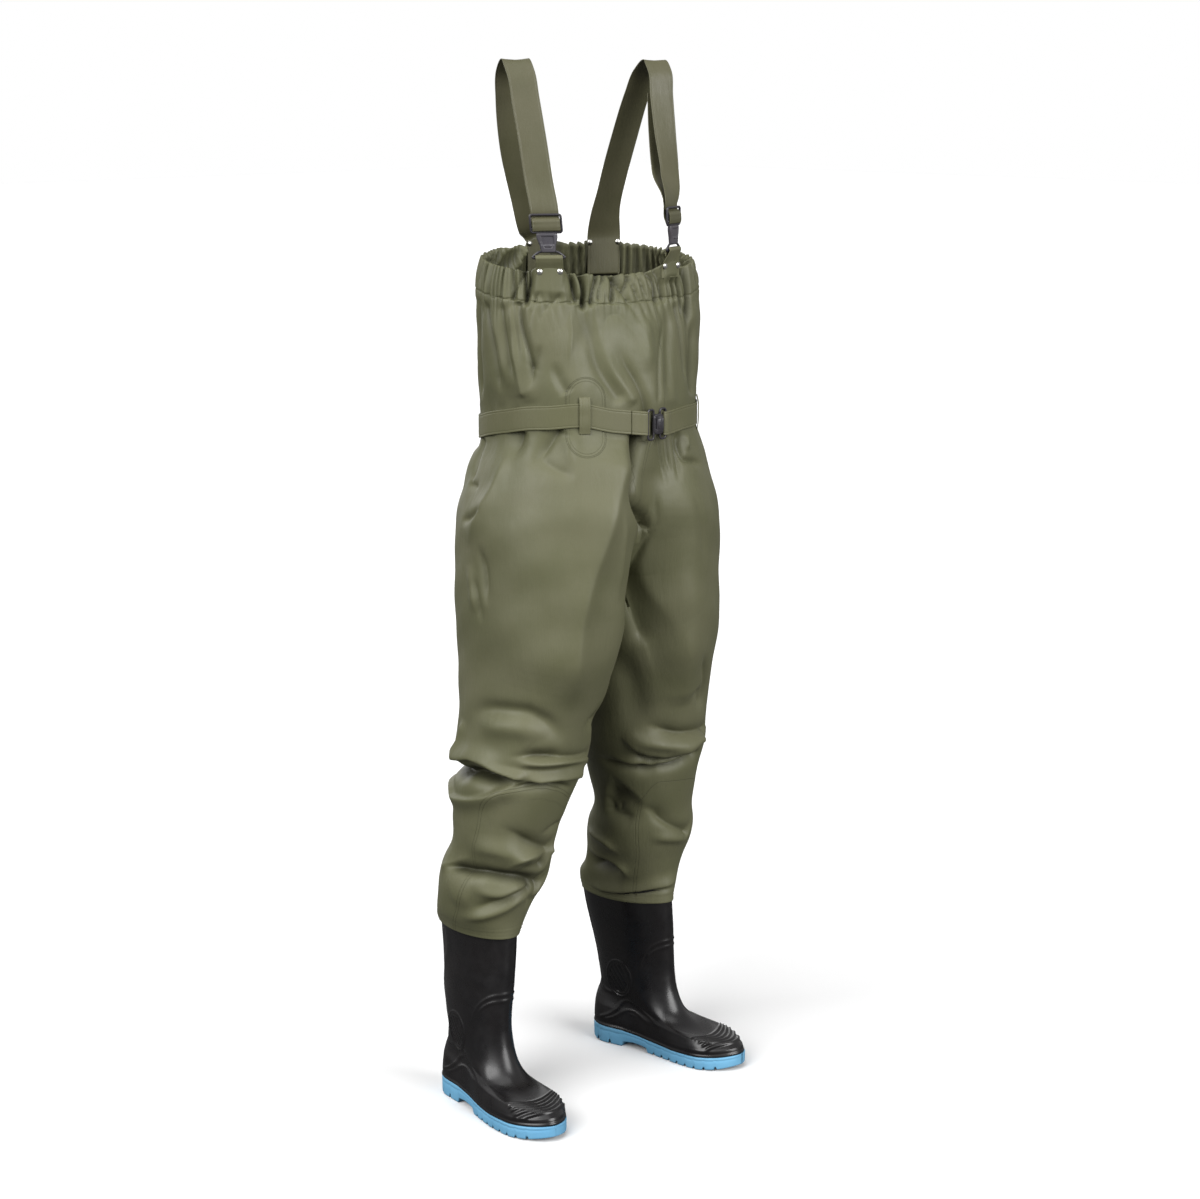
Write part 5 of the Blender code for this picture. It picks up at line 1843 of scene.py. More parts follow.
@dataclass
class Boot:
    """One safety boot: moulded upper with ribs, ankle pads and raised lines, and a lugged sole; sizes in mm.

    Places run along the foot from the heel, aside to the outer side, and up.
    """

    side: Side
    rubber: Material
    sole: Material
    heel_x: float = 176.8
    heel_y: float = 154.9
    toe_out: float = 9.0
    length: float = 309.0
    sole_edge: float = 2.5
    ball_half: float = 52.0
    heel_round: float = 0.13
    toe_round: float = 0.21
    wall: float = 2.6
    columns: int = 320
    # Closeness of the columns at the toe
    crowd: float = 0.4
    # Rows of the upper: first ring, last ring, steps
    steps: Table = ((0, 2, 10), (2, 5.2, 54), (5.2, 6, 10), (6, 11, 84), (11, 14, 18))
    # Foot outline: share of the length from the heel, outer half width, inner half width
    outline: Table = (
        (0, 35, 35), (0.08, 36, 36), (0.15, 37, 37), (0.25, 38, 36), (0.38, 41, 35),
        (0.52, 48, 40.5), (0.65, 52, 48), (0.76, 51, 51), (0.86, 46, 49), (0.94, 41, 45),
        (1, 38, 42),
    )
    # Rings: number, front along, front height, back along, back height, half width, foot share, side shift
    rings: Table = (
        (0, 302, 27.6, 3, 30.6, 51.5, 1, 0),
        (1, 306.5, 35.5, 0, 42, 54, 1, 0),
        (2, 305, 41, -0.5, 56, 53.5, 1, 0),
        (3, 295.5, 45.5, 0.5, 70, 49.5, 0.95, 0),
        (4, 272, 47, 3.5, 85, 44, 0.85, 0),
        (5, 240, 49, 9, 100, 40, 0.68, 0),
        (6, 209, 57.5, 11.5, 115, 39, 0.48, 0),
        (7, 184.5, 76, 10, 129, 39, 0.28, 0),
        (8, 169.5, 105, 7, 144, 39.5, 0.12, 0),
        (9, 162.5, 140, 3, 163, 40, 0, -0.5),
        (10, 161.5, 179, -2.5, 189, 41, 0, -2.5),
        (11, 162.5, 220, -9, 221, 42.5, 0, -6),
        (12, 162, 259, -15, 254, 44, 0, -9.5),
        (13, 161.5, 292, -20, 285, 45.5, 0, -11),
        (14, 161.5, 316, -23.5, 309, 46.5, 0, -11.5),
    )
    # Sole heights: share of the length, upper face, under face
    levels: Table = (
        (0, 30, 9), (0.03, 30, 3.5), (0.075, 30, 0), (0.252, 29.5, 0), (0.264, 29, 8.5),
        (0.33, 26.5, 11), (0.39, 24.5, 9.5), (0.425, 23.5, 8), (0.437, 23.2, 0), (0.62, 21, 0),
        (0.8, 22, 0), (0.91, 24, 3), (1, 27, 9),
    )
    heel_grooves: Sizes = (0.085, 0.170)
    ball_grooves: Sizes = (0.485, 0.545, 0.605, 0.665, 0.725, 0.785, 0.845, 0.905)
    # Raised lines as (along, height): two over the shin and two round the heel counter
    shin_upper: Path = ((163, 207), (154, 205), (143, 199), (133, 190), (124, 177), (118, 160), (117, 140))
    shin_lower: Path = ((163, 196), (154, 194), (144, 189), (135, 181), (127, 169))
    counter_upper: Path = (
        (31, 46), (51, 55), (65, 66), (75, 79), (85, 85), (102, 82), (123, 73), (146, 62), (165, 51),
    )
    counter_lower: Path = ((41, 44), (60, 51), (74, 60), (85, 67), (96, 69), (110, 66), (124, 60), (142, 50))
    # Edge of the back stay as (aside, height)
    back_stay: Path = ((31, 290), (31, 261), (26, 214), (19, 165), (16, 134), (19, 112), (25, 98), (33, 90))
    # Bow of the toe ribs: place along at the middle, how much the sides sweep back per squared aside
    rib_bow: Table = ((200, 0.002), (244, 0.002), (254, 0.007), (266, 0.0105), (284, 0.0135), (302, 0.0165))
    rib_first: float = 246.0
    rib_pitch: float = 9.5
    rib_count: int = 6
    rib_rise: float = 2.7
    rib_sweep: float = 0.009
    # Rib area: start and length of its onset and end in pitches, and over height and side
    rib_onset: Pair = (-0.6, 0.4)
    rib_end: Pair = (-0.8, 0.3)
    rib_low: Pair = (32.0, 5.0)
    rib_wide: Pair = (43.0, 6.0)
    # Back stay's edge: rise, half width, start and length of its fade along the foot
    stay_rise: float = 1.2
    stay_half: float = 2.0
    stay_fade: Pair = (46.0, 16.0)
    # Rims of an ankle pad: rise, share of the oval, half width; then its slanted ribs
    pad_rims: Table = ((2.0, 1.0, 1.5), (1.4, 0.84, 1.2))
    pad_pitch: float = 9.0
    pad_run: Pair = (0.81, 0.58)
    pad_power: float = 0.8
    pad_rise: float = 1.8
    pad_drop: float = 1.2
    # Inside of the pad: share of the oval, softness; and where the side starts
    pad_inside: Pair = (0.76, 0.06)
    pad_side: Pair = (18.0, 6.0)
    # Lines along the sole: rise, height over the sole, half width; the last one runs over the forefoot only
    sole_bead: Triple = (2.0, 2.4, 2.2)
    sole_groove: Triple = (-0.8, 6.6, 1.3)
    toe_line: Triple = (0.7, 12.0, 1.6)
    toe_onset: Pair = (170.0, 40.0)
    # Slow unevenness: height, lengths along and up of the first wave, aside and up of the second
    slow_rise: float = 0.35
    slow_lengths: Sizes = (17.0, 23.0, 13.0, 31.0)
    # Seat of the upper on the sole: rings over which it acts, gap
    seat_rings: float = 3.0
    seat_gap: float = 0.3
    path_samples: int = 26
    # Collar: rows of its inside and rise of its rounded edge
    collar_rows: int = 7
    collar_lip: float = 0.9
    # Tread grooves: depth and half width under heel and ball, softness
    heel_cut: Pair = (7.0, 2.3)
    ball_cut: Pair = (4.6, 2.1)
    cut_soft: float = 1.0
    # Sole's grid: the angle is left out at its ends, and its edge fades over a share of the length
    stations: int = 320
    end_angle: float = 0.02
    edge_fade: float = 0.02
    tread_columns: int = 25
    roof_columns: int = 7
    # Sole's side: share of its height and how far it stands out
    side_profile: Path = (
        (1, -0.7), (0.96, 0), (0.88, 0.2), (0.8, 0.1), (0.76, -0.7), (0.72, -0.7), (0.64, -0.1),
        (0.45, -0.2), (0.25, -0.3), (0.1, -0.5), (0.03, -0.9), (0, -1.8),
    )
    # Bow of the tread grooves and the share of the width that it takes
    groove_bow: float = 5.0
    groove_share: float = 0.9
    pad_along: float = 71.0
    pad_height: float = 125.0
    pad_half_along: float = 28.0
    pad_half_height: float = 34.0

    def world(self, sizes: Array) -> Array:
        """Places of sizes (along, aside, height): turned out about the heel, then mirrored.

        Args:
            sizes: Sizes in mm from the heel.

        Returns:
            Places in metres.
        """
        a = math.radians(self.toe_out)
        along, aside, height = np.moveaxis(sizes * MM, -1, 0)
        x = self.heel_x * MM + along * math.sin(a) + aside * math.cos(a)
        y = self.heel_y * MM - along * math.cos(a) + aside * math.sin(a)
        return np.stack([self.side.value * x, y, height], -1)

    def half(self, share: Array, inner: Array) -> Array:
        """Half width of the foot outline at a share of the length, with elliptical ends.

        Args:
            share: Shares of the length from the heel.
            inner: Whether each is on the inner side.

        Returns:
            Half widths in mm.
        """
        columns = smooth_columns(self.outline, share)
        heel = np.clip((self.heel_round - share) / self.heel_round, 0.0, 1.0)
        toe = np.clip((share - 1.0 + self.toe_round) / self.toe_round, 0.0, 1.0)
        cap = np.sqrt(np.clip(1 - heel ** 2, 0.0, 1.0)) * np.sqrt(np.clip(1 - toe ** 2, 0.0, 1.0))
        return np.where(inner, columns[..., 1], columns[..., 0]) * cap

    def level(self, along: Array) -> Array:
        """Upper and under face of the sole at places along it, read along straight lines."""
        data = np.asarray(self.levels)
        return np.stack([np.interp(along / self.length, data[:, 0], data[:, k]) for k in (1, 2)], -1)

    def form(self, ring: Array, a: Array) -> Array:
        """Upper's places at ring numbers and angles: a foot outline that turns into an ellipse higher up.

        Args:
            ring: Ring numbers up from the sole.
            a: Angles round from the heel.

        Returns:
            Sizes (along, aside, height) in mm.
        """
        row = smooth_columns(self.rings, ring)
        front, front_z, back, back_z, half, share, shift = np.moveaxis(row, -1, 0)
        t = (1 - np.cos(a)) / 2
        inner = a > np.pi
        foot = np.where(inner, -1.0, 1.0) * self.half(t, inner) / self.ball_half
        along = back + (front - back) * t
        tilt = back_z + (front_z - back_z) * t
        on_sole = self.level(along)[..., 0] + self.seat_gap
        seat = np.clip(1 - ring / self.seat_rings, 0.0, 1.0) * (on_sole - tilt)
        aside = half * (share * foot + (1 - share) * np.sin(a)) + shift
        return np.stack([along, aside, tilt + seat], -1)

    def away(self, path: Path, x: Array, y: Array) -> tuple[Array, Array]:
        """Share along a flat path and distance from it.

        Args:
            path: Points of the path.
            x: First size of each place.
            y: Second size of each place.

        Returns:
            Shares and distances in mm.
        """
        line = smooth_line(path, self.path_samples)
        flat = np.column_stack([line, np.zeros(len(line))])
        laid = LaidLine(flat, np.broadcast_to(UP, flat.shape))
        share, distance, _ = laid.nearest(np.column_stack([x, y, np.zeros(len(x))]))
        return share, np.abs(distance)

    def toe_ribs(self, along: Array, aside: Array, height: Array) -> Array:
        """Ribs over the toe: a train of rounded ridges swept back at the sides.

        Args:
            along: Sizes from the heel forward.
            aside: Sizes to the side.
            height: Sizes up.

        Returns:
            Heights in mm.
        """
        swing = along + self.rib_sweep * aside ** 2
        swing = along + smooth_columns(self.rib_bow, swing)[:, 0] * aside ** 2
        past = (swing - self.rib_first) / self.rib_pitch
        end, length = self.rib_end
        area = ramp(past, *self.rib_onset) * (1 - ramp(past, self.rib_count + end, length))
        area = area * ramp(height, *self.rib_low) * (1 - ramp(np.abs(aside), *self.rib_wide))
        return self.rib_rise * (0.5 + 0.5 * np.cos(2 * np.pi * past)) * area

    def raised_lines(self, along: Array, wide: Array, height: Array) -> Array:
        """Raised lines of shin, heel counter and back stay: bells over the distance from their paths.

        Args:
            along: Sizes from the heel forward.
            wide: Sizes to either side.
            height: Sizes up.

        Returns:
            Heights in mm.
        """
        total = np.zeros_like(along)
        # Each line: path, rise, half width, share of the path over which it fades out
        for path, rise, half, fade in (
            (self.shin_upper, 1.3, 2.0, 0.5), (self.shin_lower, 1.3, 2.0, 0.3),
            (self.counter_upper, 1.4, 2.4, 0.2), (self.counter_lower, 1.2, 2.2, 0.2),
        ):
            share, distance = self.away(path, along, height)
            total = total + rise * bell(distance, half) * ease((1 - share) / fade)
        _, distance = self.away(self.back_stay, wide, height)
        return total + self.stay_rise * bell(distance, self.stay_half) * (1 - ramp(along, *self.stay_fade))

    def ankle_pads(self, along: Array, wide: Array, height: Array) -> Array:
        """Ankle pads: two oval rims as bells, and slanted ribs inside as powers of a half sine.

        Args:
            along: Sizes from the heel forward.
            wide: Sizes to either side.
            height: Sizes up.

        Returns:
            Heights in mm.
        """
        x, y = along - self.pad_along, height - self.pad_height
        oval = np.hypot(x / self.pad_half_along, y / self.pad_half_height)
        size = (self.pad_half_along + self.pad_half_height) / 2
        rims = sum(rise * bell((oval - share) * size, half) for rise, share, half in self.pad_rims)
        run, climb = self.pad_run
        slant = np.abs(np.sin(np.pi * (run * x + climb * y) / self.pad_pitch)) ** self.pad_power
        inside = (self.pad_rise * slant - self.pad_drop) * block(oval, *self.pad_inside)
        return (rims + inside) * ramp(wide, *self.pad_side)

    def relief(self, places: Array) -> Array:
        """Moulded relief of the upper: ribs, raised lines, pads, lines over the sole and slow waves.

        Args:
            places: Places of the form.

        Returns:
            Heights of the relief.
        """
        along, aside, height = places.T
        wide = np.abs(aside)
        total = self.toe_ribs(along, aside, height) + self.raised_lines(along, wide, height)
        total = total + self.ankle_pads(along, wide, height)
        over = height - self.level(along)[:, 0]
        lines = [rise * bell(over - place, half)
                 for rise, place, half in (self.sole_bead, self.sole_groove, self.toe_line)]
        lines[-1] = lines[-1] * ramp(along, *self.toe_onset)
        first, second, third, fourth = self.slow_lengths
        slow = np.sin(along / first + height / second) * np.sin(aside / third + height / fourth)
        return total + sum(lines) + self.slow_rise * slow

    def build_upper(self) -> None:
        """Upper: outside with its relief, over the collar's rim and down its inside."""
        spans = [np.linspace(low, high, count, endpoint=False) for low, high, count in self.steps]
        ring = np.append(np.concatenate(spans), self.steps[-1][1])
        a = np.linspace(0.0, 2 * np.pi, self.columns, endpoint=False)
        a = a + self.crowd * np.sin(a)
        angle, number = np.meshgrid(a, ring)
        base = self.form(number, angle)
        flat = base.reshape(-1, 3)
        quads = grid_quads(len(ring), self.columns, wrap_cols=True)
        normals = vertex_normals(flat, quads)
        middle = base.mean(axis=1, keepdims=True)
        if np.sum(normals * (base - middle).reshape(-1, 3)) < 0:
            normals = -normals
        outer = (flat + normals * self.relief(flat)[:, None]).reshape(base.shape)
        inner = (outer - normals.reshape(base.shape) * self.wall)[:-self.collar_rows - 1:-1]
        lip = (outer[-1] + inner[0]) / 2 + self.collar_lip * UP
        grid = np.concatenate([outer, lip[None], inner])
        faces = grid_quads(len(grid), self.columns, wrap_cols=True)
        away = self.world(base) - self.world(base).mean(axis=1, keepdims=True)
        shell = Shell(self.world(grid).reshape(-1, 3), faces).facing(away.reshape(-1, 3))
        label = self.side.label
        make_piece(f"{label}_boot_moulding", shell, self.rubber, (f"boot_{label}_upper",))

    def notch(self, along: Array) -> Array:
        """Depth of the tread's cross grooves: soft boxes at each groove, deeper under the heel.

        Args:
            along: Sizes from the heel forward.

        Returns:
            Depths in mm.
        """
        depth = np.zeros_like(along)
        for grooves, (cut, half) in ((self.heel_grooves, self.heel_cut), (self.ball_grooves, self.ball_cut)):
            for groove in grooves:
                depth = np.maximum(depth, cut * block(along - groove * self.length, half, self.cut_soft))
        return depth

    def build_sole(self) -> None:
        """Sole: a section with a bead along its upper edge, carried along the foot and notched below.

        Each section runs down the outer side, across the tread, up the inner side and over the top.
        """
        t = (1 - np.cos(np.linspace(self.end_angle, np.pi - self.end_angle, self.stations))) / 2
        along = t * self.length
        top, under = np.moveaxis(self.level(along)[:, None], -1, 0)
        edge = self.sole_edge * np.sqrt(np.clip(np.minimum(t, 1 - t) / self.edge_fade, 0.0, 1.0))
        outer, inner = ((self.half(t, np.full(len(t), side)) + edge)[:, None] for side in (False, True))
        down, bulge = np.array(self.side_profile).T
        low = under + self.notch(along)[:, None]
        side_height = low + (top - low) * down
        outer_side, inner_side = (np.minimum(width + bulge, width) for width in (outer, inner))
        u = np.linspace(1.0, -1.0, self.tread_columns)[1:-1]
        across = u * (np.where(u > 0, outer, inner) + bulge[-1])
        bow = self.groove_bow * (1 + np.cos(np.pi * across / np.maximum(outer, inner)))
        tread = under + self.notch(along[:, None] + np.where(np.abs(u) < self.groove_share, bow, 0.0))
        roof = np.linspace(-1.0, 1.0, self.roof_columns)[1:-1]
        over = roof * np.where(roof > 0, outer, inner)
        aside = np.concatenate([outer_side, across, -inner_side[:, ::-1], over], axis=1)
        roof_height = np.broadcast_to(top, over.shape)
        height = np.concatenate([side_height, tread, side_height[:, ::-1], roof_height], axis=1)
        places = np.stack([np.broadcast_to(along[:, None], aside.shape), aside, height], -1)
        shell = Shell.tube(self.world(places)).outward()
        label = self.side.label
        make_piece(f"{label}_boot_sole", shell, self.sole, (f"boot_{label}_outsole",))

    def build(self) -> None:
        """Make the upper and the sole."""
        self.build_upper()
        self.build_sole()


class NodeBench:
    """Adds shader nodes to one material by short calls."""

    def __init__(self, name: str) -> None:
        """Start a material with its shader.

        Args:
            name: Name of the material.
        """
        self.material = bpy.data.materials.new(name)
        self.material.use_nodes = True
        self.tree = self.material.node_tree
        self.shader = self.tree.nodes["Principled BSDF"]

    def node(self, kind: str, **settings: object) -> bpy.types.Node:
        """Add a node and set its own properties.

        Args:
            kind: Type of the node.
            settings: Values of its properties.

        Returns:
            The node.
        """
        made = self.tree.nodes.new(kind)
        for key, value in settings.items():
            setattr(made, key, value)
        return made

    def link(self, source: Socket, target: Socket) -> None:
        """Join two sockets."""
        self.tree.links.new(source, target)

    def feed(self, item: object, target: Socket) -> None:
        """Join a socket to another, or set a plain value on it.

        Args:
            item: Socket or plain value.
            target: Input that takes it.
        """
        if isinstance(item, Socket):
            self.link(item, target)
        else:
            target.default_value = item

    def noise(self, scale: float, detail: float = 3.0, rough: float = 0.55, rise: float = 1.0) -> Socket:
        """Noise over object coordinates, drawn out upward where the rise is below 1.

        Args:
            scale: Fineness of the noise.
            detail: Number of its octaves.
            rough: Weight of the finer ones.
            rise: Scale upward.

        Returns:
            The noise.
        """
        made = self.node("ShaderNodeTexNoise")
        drawn = self.node("ShaderNodeMapping")
        drawn.inputs["Scale"].default_value = (1.0, 1.0, rise)
        for key, number in (("Scale", scale), ("Detail", detail), ("Roughness", rough)):
            made.inputs[key].default_value = number
        self.link(self.node("ShaderNodeTexCoord").outputs["Object"], drawn.inputs["Vector"])
        self.link(drawn.outputs["Vector"], made.inputs["Vector"])
        return made.outputs["Fac"]

    def value(self, name: str) -> Socket:
        """A named number of the piece's points."""
        return self.node("ShaderNodeAttribute", attribute_name=name).outputs["Fac"]

    def maths(self, operation: str, first: Socket, second: object = 0.0) -> Socket:
        """A math node on one or two values.

        Args:
            operation: What the node does.
            first: First value.
            second: Second value, where it takes one.

        Returns:
            The result.
        """
        made = self.node("ShaderNodeMath", operation=operation)
        self.feed(first, made.inputs[0])
        self.feed(second, made.inputs[1])
        return made.outputs[0]

    def span(self, value: Socket, start: float, end: float, low: float = 0.0, high: float = 1.0) -> Socket:
        """Map a span of values smoothly on another.

        Args:
            value: What is mapped.
            start: Value that gives low.
            end: Value that gives high.
            low: Result at the start.
            high: Result at the end.

        Returns:
            The mapped value.
        """
        made = self.node("ShaderNodeMapRange", interpolation_type="SMOOTHSTEP")
        self.link(value, made.inputs["Value"])
        for key, number in (("From Min", start), ("From Max", end), ("To Min", low), ("To Max", high)):
            made.inputs[key].default_value = number
        return made.outputs["Result"]

    def line(self, name: str, offset: float, half: float, soft: float = 0.5) -> Socket:
        """1 on the lines at a distance on both sides of a named seam, and 0 away from them."""
        away = self.maths("SUBTRACT", self.maths("ABSOLUTE", self.value(name)), offset)
        return self.span(self.maths("ABSOLUTE", away), half, half + soft, 1.0, 0.0)

    def mix(self, share: object, first: object, second: object) -> Socket:
        """Mix two colours by a share.

        Args:
            share: Share of the second colour.
            first: First colour.
            second: Second colour.

        Returns:
            The mixed colour.
        """
        made = self.node("ShaderNodeMix", data_type="RGBA")
        for place, item in ((0, share), (6, first), (7, second)):
            self.feed(item, made.inputs[place])
        return made.outputs[2]

    def bump(self, height: Socket, strength: float, distance: float, under: Socket | None = None) -> Socket:
        """Bump of a height in metres over an optional lower bump.

        Args:
            height: Heights.
            strength: Share of the bump that is used.
            distance: Metres that a height of 1 stands out.
            under: Lower bump.

        Returns:
            The bent normal.
        """
        made = self.node("ShaderNodeBump")
        made.inputs["Strength"].default_value = strength
        made.inputs["Distance"].default_value = distance
        self.link(height, made.inputs["Height"])
        if under is not None:
            self.link(under, made.inputs["Normal"])
        return made.outputs["Normal"]

    def dress(self, colour: Socket, rough: Socket, normal: Socket | None = None) -> None:
        """Join colour, roughness and an optional normal to the shader.

        Args:
            colour: Base colour.
            rough: Roughness.
            normal: Bent normal.
        """
        self.link(colour, self.shader.inputs["Base Color"])
        self.link(rough, self.shader.inputs["Roughness"])
        if normal is not None:
            self.link(normal, self.shader.inputs["Normal"])


def tinted(colour: Triple, tint: Triple) -> tuple[float, ...]:
    """Colour times a tint, opaque."""
    return (*(a * b for a, b in zip(colour, tint)), 1.0)


@dataclass(frozen=True)
class CoatedCloth:
    """Satin coated fabric with a fine grain, painted shade in deep creases and welded lines, whose distances
    are mm.
    """

    name: str
    colour: Triple
    rough: float = 0.52
    lines: bool = True
    rough_spread: Pair = (-0.05, 0.06)
    specular: float = 0.36
    # Shares of the colour: the two greens, the welds and the painted shade of deep creases
    first_tint: Triple = (0.93, 0.94, 0.90)
    second_tint: Triple = (1.06, 1.05, 1.08)
    weld_tint: Triple = (0.55, 0.55, 0.5)
    painted_shade_tint: Triple = (0.16, 0.16, 0.14)
    weld_shade: float = 0.55
    crease_shade: float = 0.78
    # Inner line of the patch: distance inside its outline
    patch_inset: float = 5.0

    def weld_marks(self, bench: NodeBench) -> Socket:
        """1 on the welded lines and 0 elsewhere, from the named distances.

        Args:
            bench: Nodes of the material.

        Returns:
            The marks.
        """
        marks = bench.line("seam", offset=2.6, half=0.35)
        marks = bench.maths("ADD", marks, bench.line("weld", offset=0.0, half=0.4))
        marks = bench.maths("ADD", marks, bench.line("patch", offset=1.0, half=0.3))
        inner = bench.maths("ABSOLUTE", bench.maths("ADD", bench.value("patch"), self.patch_inset))
        marks = bench.maths("ADD", marks, bench.span(inner, start=0.3, end=0.8, low=0.7, high=0.0))
        return bench.maths("MINIMUM", marks, 1.0)

    def make(self) -> Material:
        """Build the material: two close greens by slow noise, a grain bump, welds and painted shade in the
        creases.

        Returns:
            The material.
        """
        bench = NodeBench(self.name)
        slow = bench.span(bench.noise(9.0, detail=4.0), start=0.35, end=0.68)
        colour = bench.mix(slow, tinted(self.colour, self.first_tint), tinted(self.colour, self.second_tint))
        grain = bench.noise(1500.0, detail=2.0)
        wrinkle = bench.noise(62.0, detail=4.0, rough=0.6, rise=0.16)
        normal = bench.bump(wrinkle, strength=0.5, distance=0.0018)
        normal = bench.bump(grain, strength=0.22, distance=0.0003, under=normal)
        if self.lines:
            marks = self.weld_marks(bench)
            shade = bench.maths("MULTIPLY", marks, self.weld_shade)
            colour = bench.mix(shade, colour, tinted(self.colour, self.weld_tint))
            normal = bench.bump(marks, strength=0.6, distance=-0.0007, under=normal)
            # Painted shade: the colour darkens towards the shade tint by the named crease value
            deep = bench.maths("MULTIPLY", bench.value("painted_crease_shade"), self.crease_shade)
            colour = bench.mix(deep, colour, tinted(self.colour, self.painted_shade_tint))
        low, high = (self.rough + part for part in self.rough_spread)
        rough = bench.span(bench.noise(24.0), start=0.3, end=0.7, low=low, high=high)
        bench.dress(colour, rough, normal)
        bench.shader.inputs["Specular IOR Level"].default_value = self.specular
        return bench.material


@dataclass(frozen=True)
class MouldedRubber:
    """Moulded rubber or plastic with a slight orange-peel bump and uneven gloss."""

    name: str
    colour: Triple
    rough: float
    peel: float = 0.1
    spread: float = 0.06
    # Shares of the colour between which it changes slowly
    first_tint: Triple = (0.9, 0.92, 0.94)
    second_tint: Triple = (1.1, 1.06, 1.04)

    def make(self) -> Material:
        """Build the material: slow colour change, gloss by noise and a fine bump.

        Returns:
            The material.
        """
        bench = NodeBench(self.name)
        share = bench.span(bench.noise(14.0), start=0.35, end=0.65)
        colour = bench.mix(share, tinted(self.colour, self.first_tint), tinted(self.colour, self.second_tint))
        low, high = self.rough - self.spread, self.rough + self.spread
        rough = bench.span(bench.noise(40.0, detail=4.0), start=0.3, end=0.7, low=low, high=high)
        bench.dress(colour, rough, bench.bump(bench.noise(420.0, detail=2.0), self.peel, distance=0.0004))
        return bench.material


@dataclass(frozen=True)
class BrightMetal:
    """Nickel-plated rivet metal with fine marks."""

    name: str = "rivet_steel"
    dark: Triple = (0.72, 0.71, 0.68)
    light: Triple = (0.86, 0.85, 0.82)

    def make(self) -> Material:
        """Build the material: light grey metal with gloss by noise.

        Returns:
            The material.
        """
        bench = NodeBench(self.name)
        colour = bench.mix(bench.noise(300.0), (*self.dark, 1.0), (*self.light, 1.0))
        rough = bench.span(bench.noise(500.0), start=0.3, end=0.7, low=0.18, high=0.34)
        bench.dress(colour, rough)
        bench.shader.inputs["Metallic"].default_value = 1.0
        return bench.material


@dataclass
class Studio:
    """Pale floor, soft light and the camera at the photo's angle."""

    azimuth: float = -45.0
    elevation: float = 11.5
    distance: float = 4.35
    target: Triple = (0.0, -0.026, 0.847)
    lens: float = 79.08
    sensor: float = 36.0
    floor_half: float = 30.0
    floor_z: float = -0.0005
    # Greys of the floor: the two that are seen, and the one that throws light back
    floor_greys: Triple = (0.93, 0.96, 0.10)
    # Strength of the surround for diffuse light, reflections and the view
    diffuse_room: float = 0.11
    glossy_room: float = 0.42
    seen_room: float = 1.0
    # Lights: name, direction towards it, strength, width in degrees
    lights: tuple[tuple[str, Triple, float, float], ...] = (
        ("key_light", (-0.82, -0.06, 0.57), 3.0, 48.0),
        ("fill_light", (0.08, -0.92, 0.38), 2.75, 40.0),
        ("top_light", (-0.2, -0.2, 1.0), 0.6, 40.0),
        ("back_light", (0.25, 0.88, 0.40), 1.1, 60.0),
    )

    def build(self) -> None:
        """Make the camera, lights, floor and world."""
        self.add_camera()
        self.add_floor()
        for light in self.lights:
            self.add_sun(*light)
        self.add_world()
        bpy.context.scene.view_settings.view_transform = "Standard"

    def add_camera(self) -> None:
        """Camera on a sphere about the target, aimed at it."""
        a, e = math.radians(self.azimuth), math.radians(self.elevation)
        back = Vector((math.sin(a) * math.cos(e), -math.cos(a) * math.cos(e), math.sin(e)))
        data = bpy.data.cameras.new("camera")
        data.lens = self.lens
        data.sensor_width = self.sensor
        camera = bpy.data.objects.new("camera", data)
        camera.location = Vector(self.target) + back * self.distance
        camera.rotation_euler = (-back).to_track_quat("-Z", "Y").to_euler()
        bpy.context.scene.collection.objects.link(camera)
        bpy.context.scene.camera = camera

    def add_floor(self) -> None:
        """Large plain floor just under the soles."""
        h = self.floor_half
        mesh = bpy.data.meshes.new("floor")
        mesh.from_pydata([(-h, -h, 0), (h, -h, 0), (h, h, 0), (-h, h, 0)], [], [(0, 1, 2, 3)])
        bench = NodeBench("floor_white")
        first, second, lit = ((grey, grey, grey, 1.0) for grey in self.floor_greys)
        pale = bench.mix(bench.noise(3.0), first, second)
        seen = bench.node("ShaderNodeLightPath").outputs["Is Camera Ray"]
        bench.link(bench.mix(seen, lit, pale), bench.shader.inputs["Base Color"])
        bench.shader.inputs["Roughness"].default_value = 1.0
        bench.shader.inputs["Specular IOR Level"].default_value = 0.0
        mesh.materials.append(bench.material)
        floor = bpy.data.objects.new("floor", mesh)
        floor.location.z = self.floor_z
        bpy.context.scene.collection.objects.link(floor)

    def add_sun(self, name: str, towards: Triple, strength: float, spread: float) -> None:
        """Even light from a patch of sky, given by the direction towards it and its width in degrees.

        Args:
            name: Name of the light.
            towards: Direction towards it.
            strength: Its strength.
            spread: Its width in degrees.
        """
        data = bpy.data.lights.new(name, "SUN")
        data.energy = strength
        data.angle = math.radians(spread)
        light = bpy.data.objects.new(name, data)
        light.rotation_euler = (-Vector(towards)).to_track_quat("-Z", "Y").to_euler()
        bpy.context.scene.collection.objects.link(light)

    def add_world(self) -> None:
        """White surround: bright where it is seen, dimmer as light."""
        world = bpy.data.worlds.new("surround")
        bpy.context.scene.world = world
        world.use_nodes = True
        tree = world.node_tree
        shown = tree.nodes["Background"]
        shown.inputs["Color"].default_value = (1.0, 1.0, 1.0, 1.0)
        rays = tree.nodes.new("ShaderNodeLightPath")
        levels = [tree.nodes.new("ShaderNodeMapRange") for _ in range(2)]
        highs = (self.glossy_room, self.seen_room)
        for level, ray, high in zip(levels, ("Is Glossy Ray", "Is Camera Ray"), highs):
            level.inputs["To Max"].default_value = high
            tree.links.new(rays.outputs[ray], level.inputs["Value"])
        levels[0].inputs["To Min"].default_value = self.diffuse_room
        tree.links.new(levels[0].outputs["Result"], levels[1].inputs["To Min"])
        tree.links.new(levels[1].outputs["Result"], shown.inputs["Strength"])


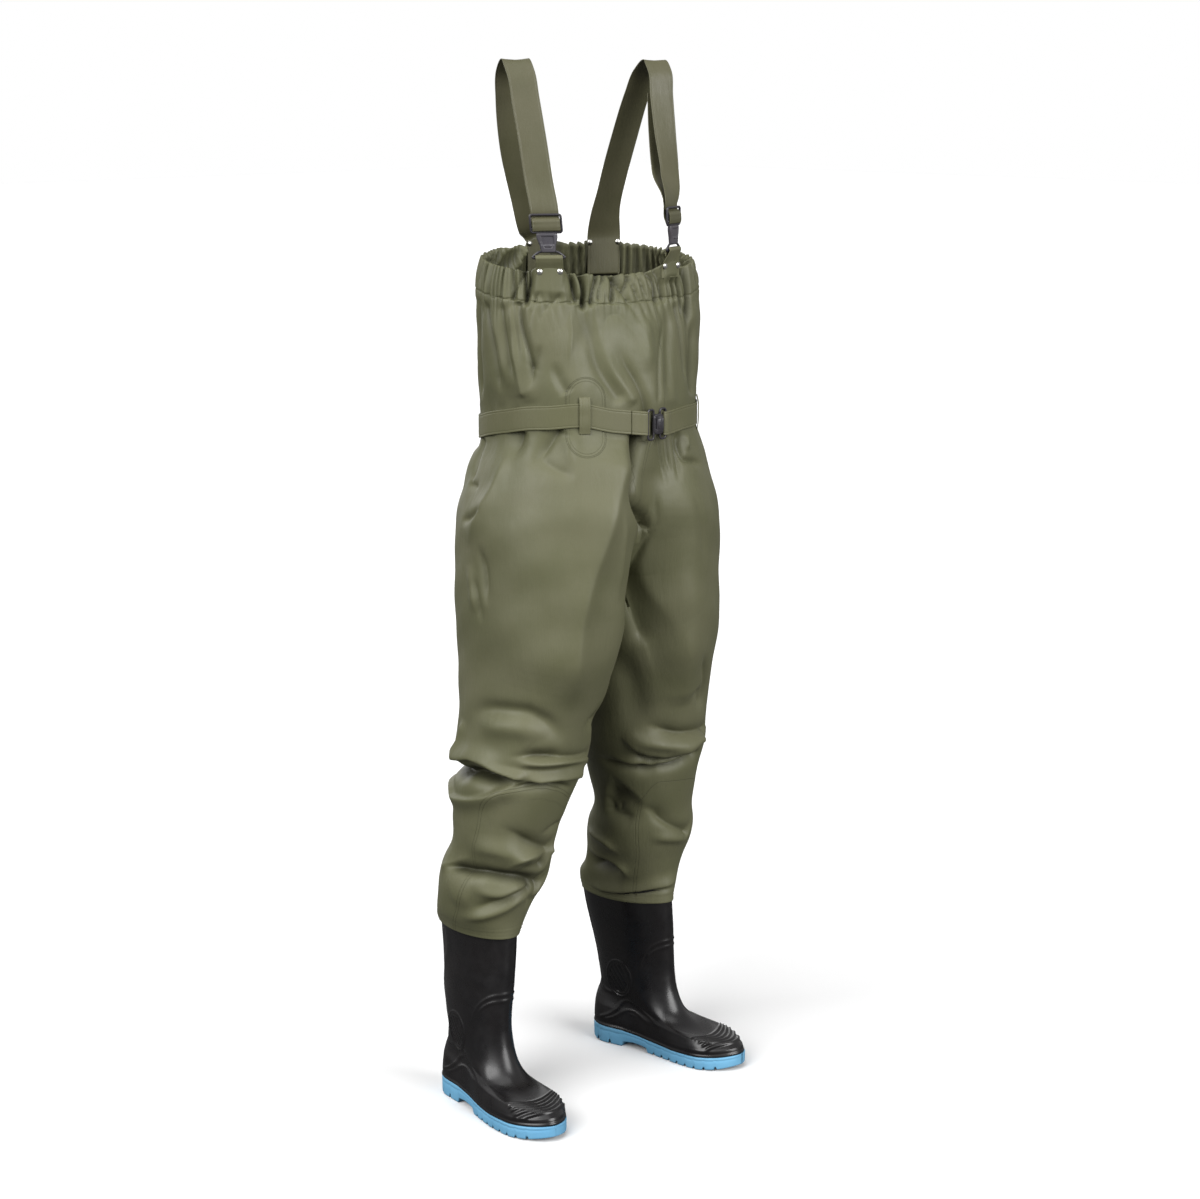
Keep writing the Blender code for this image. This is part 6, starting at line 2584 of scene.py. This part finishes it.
def dress_solids(finishes: dict[str, Material]) -> None:
    """Give each solid that is still shown the finish of its slot.

    Args:
        finishes: Materials by the names of their slots.
    """
    slots = {row["node"]: row["material_slot"] for row in frame["record"]["subparts"]}
    for name, node in frame["nodes"].items():
        node.data.materials.clear()
        node.data.materials.append(finishes[slots[name]])


def main() -> None:
    """Build the wader's looks in order."""
    logging.basicConfig(level=logging.INFO, format="%(name)s %(message)s")
    finishes = {
        "coated_green": CoatedCloth("coated_green", (0.116, 0.116, 0.063)).make(),
        "strap_green": CoatedCloth("strap_green", (0.094, 0.090, 0.050), rough=0.44, lines=False).make(),
        "boot_black": MouldedRubber("boot_black", (0.0075, 0.0068, 0.0072), rough=0.30).make(),
        "sole_blue": MouldedRubber("sole_blue", (0.15, 0.40, 0.62), rough=0.5).make(),
        "insole_grey": MouldedRubber("insole_grey", (0.30, 0.30, 0.29), rough=0.9, peel=0.4).make(),
        "buckle_black": MouldedRubber("buckle_black", (0.030, 0.028, 0.033), rough=0.35).make(),
        "rivet_steel": BrightMetal().make(),
    }
    dress_solids(finishes)
    Studio().build()
    form = BodyForm()
    Trousers(form, finishes["coated_green"]).build()
    welded = CoatedCloth("welded_green", (0.130, 0.128, 0.070), rough=0.48, lines=False).make()
    Belt(form, welded, finishes["buckle_black"]).build()
    looks = {
        "cloth": finishes["strap_green"],
        "tab_cloth": welded,
        "plastic": finishes["buckle_black"],
        "latch_plastic": MouldedRubber("latch_grey", (0.072, 0.067, 0.076), rough=0.33).make(),
        "metal": finishes["rivet_steel"],
    }
    straps = (
        Strap(Side.RIGHT, form, **looks, rows=RIGHT_STRAP, tab_deg=41.0, back_deg=175.0, hollow=1.4, bar=25.0,
              spin=0.0, slant=-0.085, rivet_up=3.0, end_width=46.0),
        Strap(Side.LEFT, form, **looks, rows=LEFT_STRAP, tab_deg=-24.0, back_deg=208.0, hollow=2.0, bar=33.0,
              spin=-16.0, slant=0.0, rivet_up=7.0, end_width=58.0),
    )
    for shoulder in straps:
        shoulder.build()
        Boot(shoulder.side, finishes["boot_black"], finishes["sole_blue"]).build()


if __name__ == "__main__":
    main()
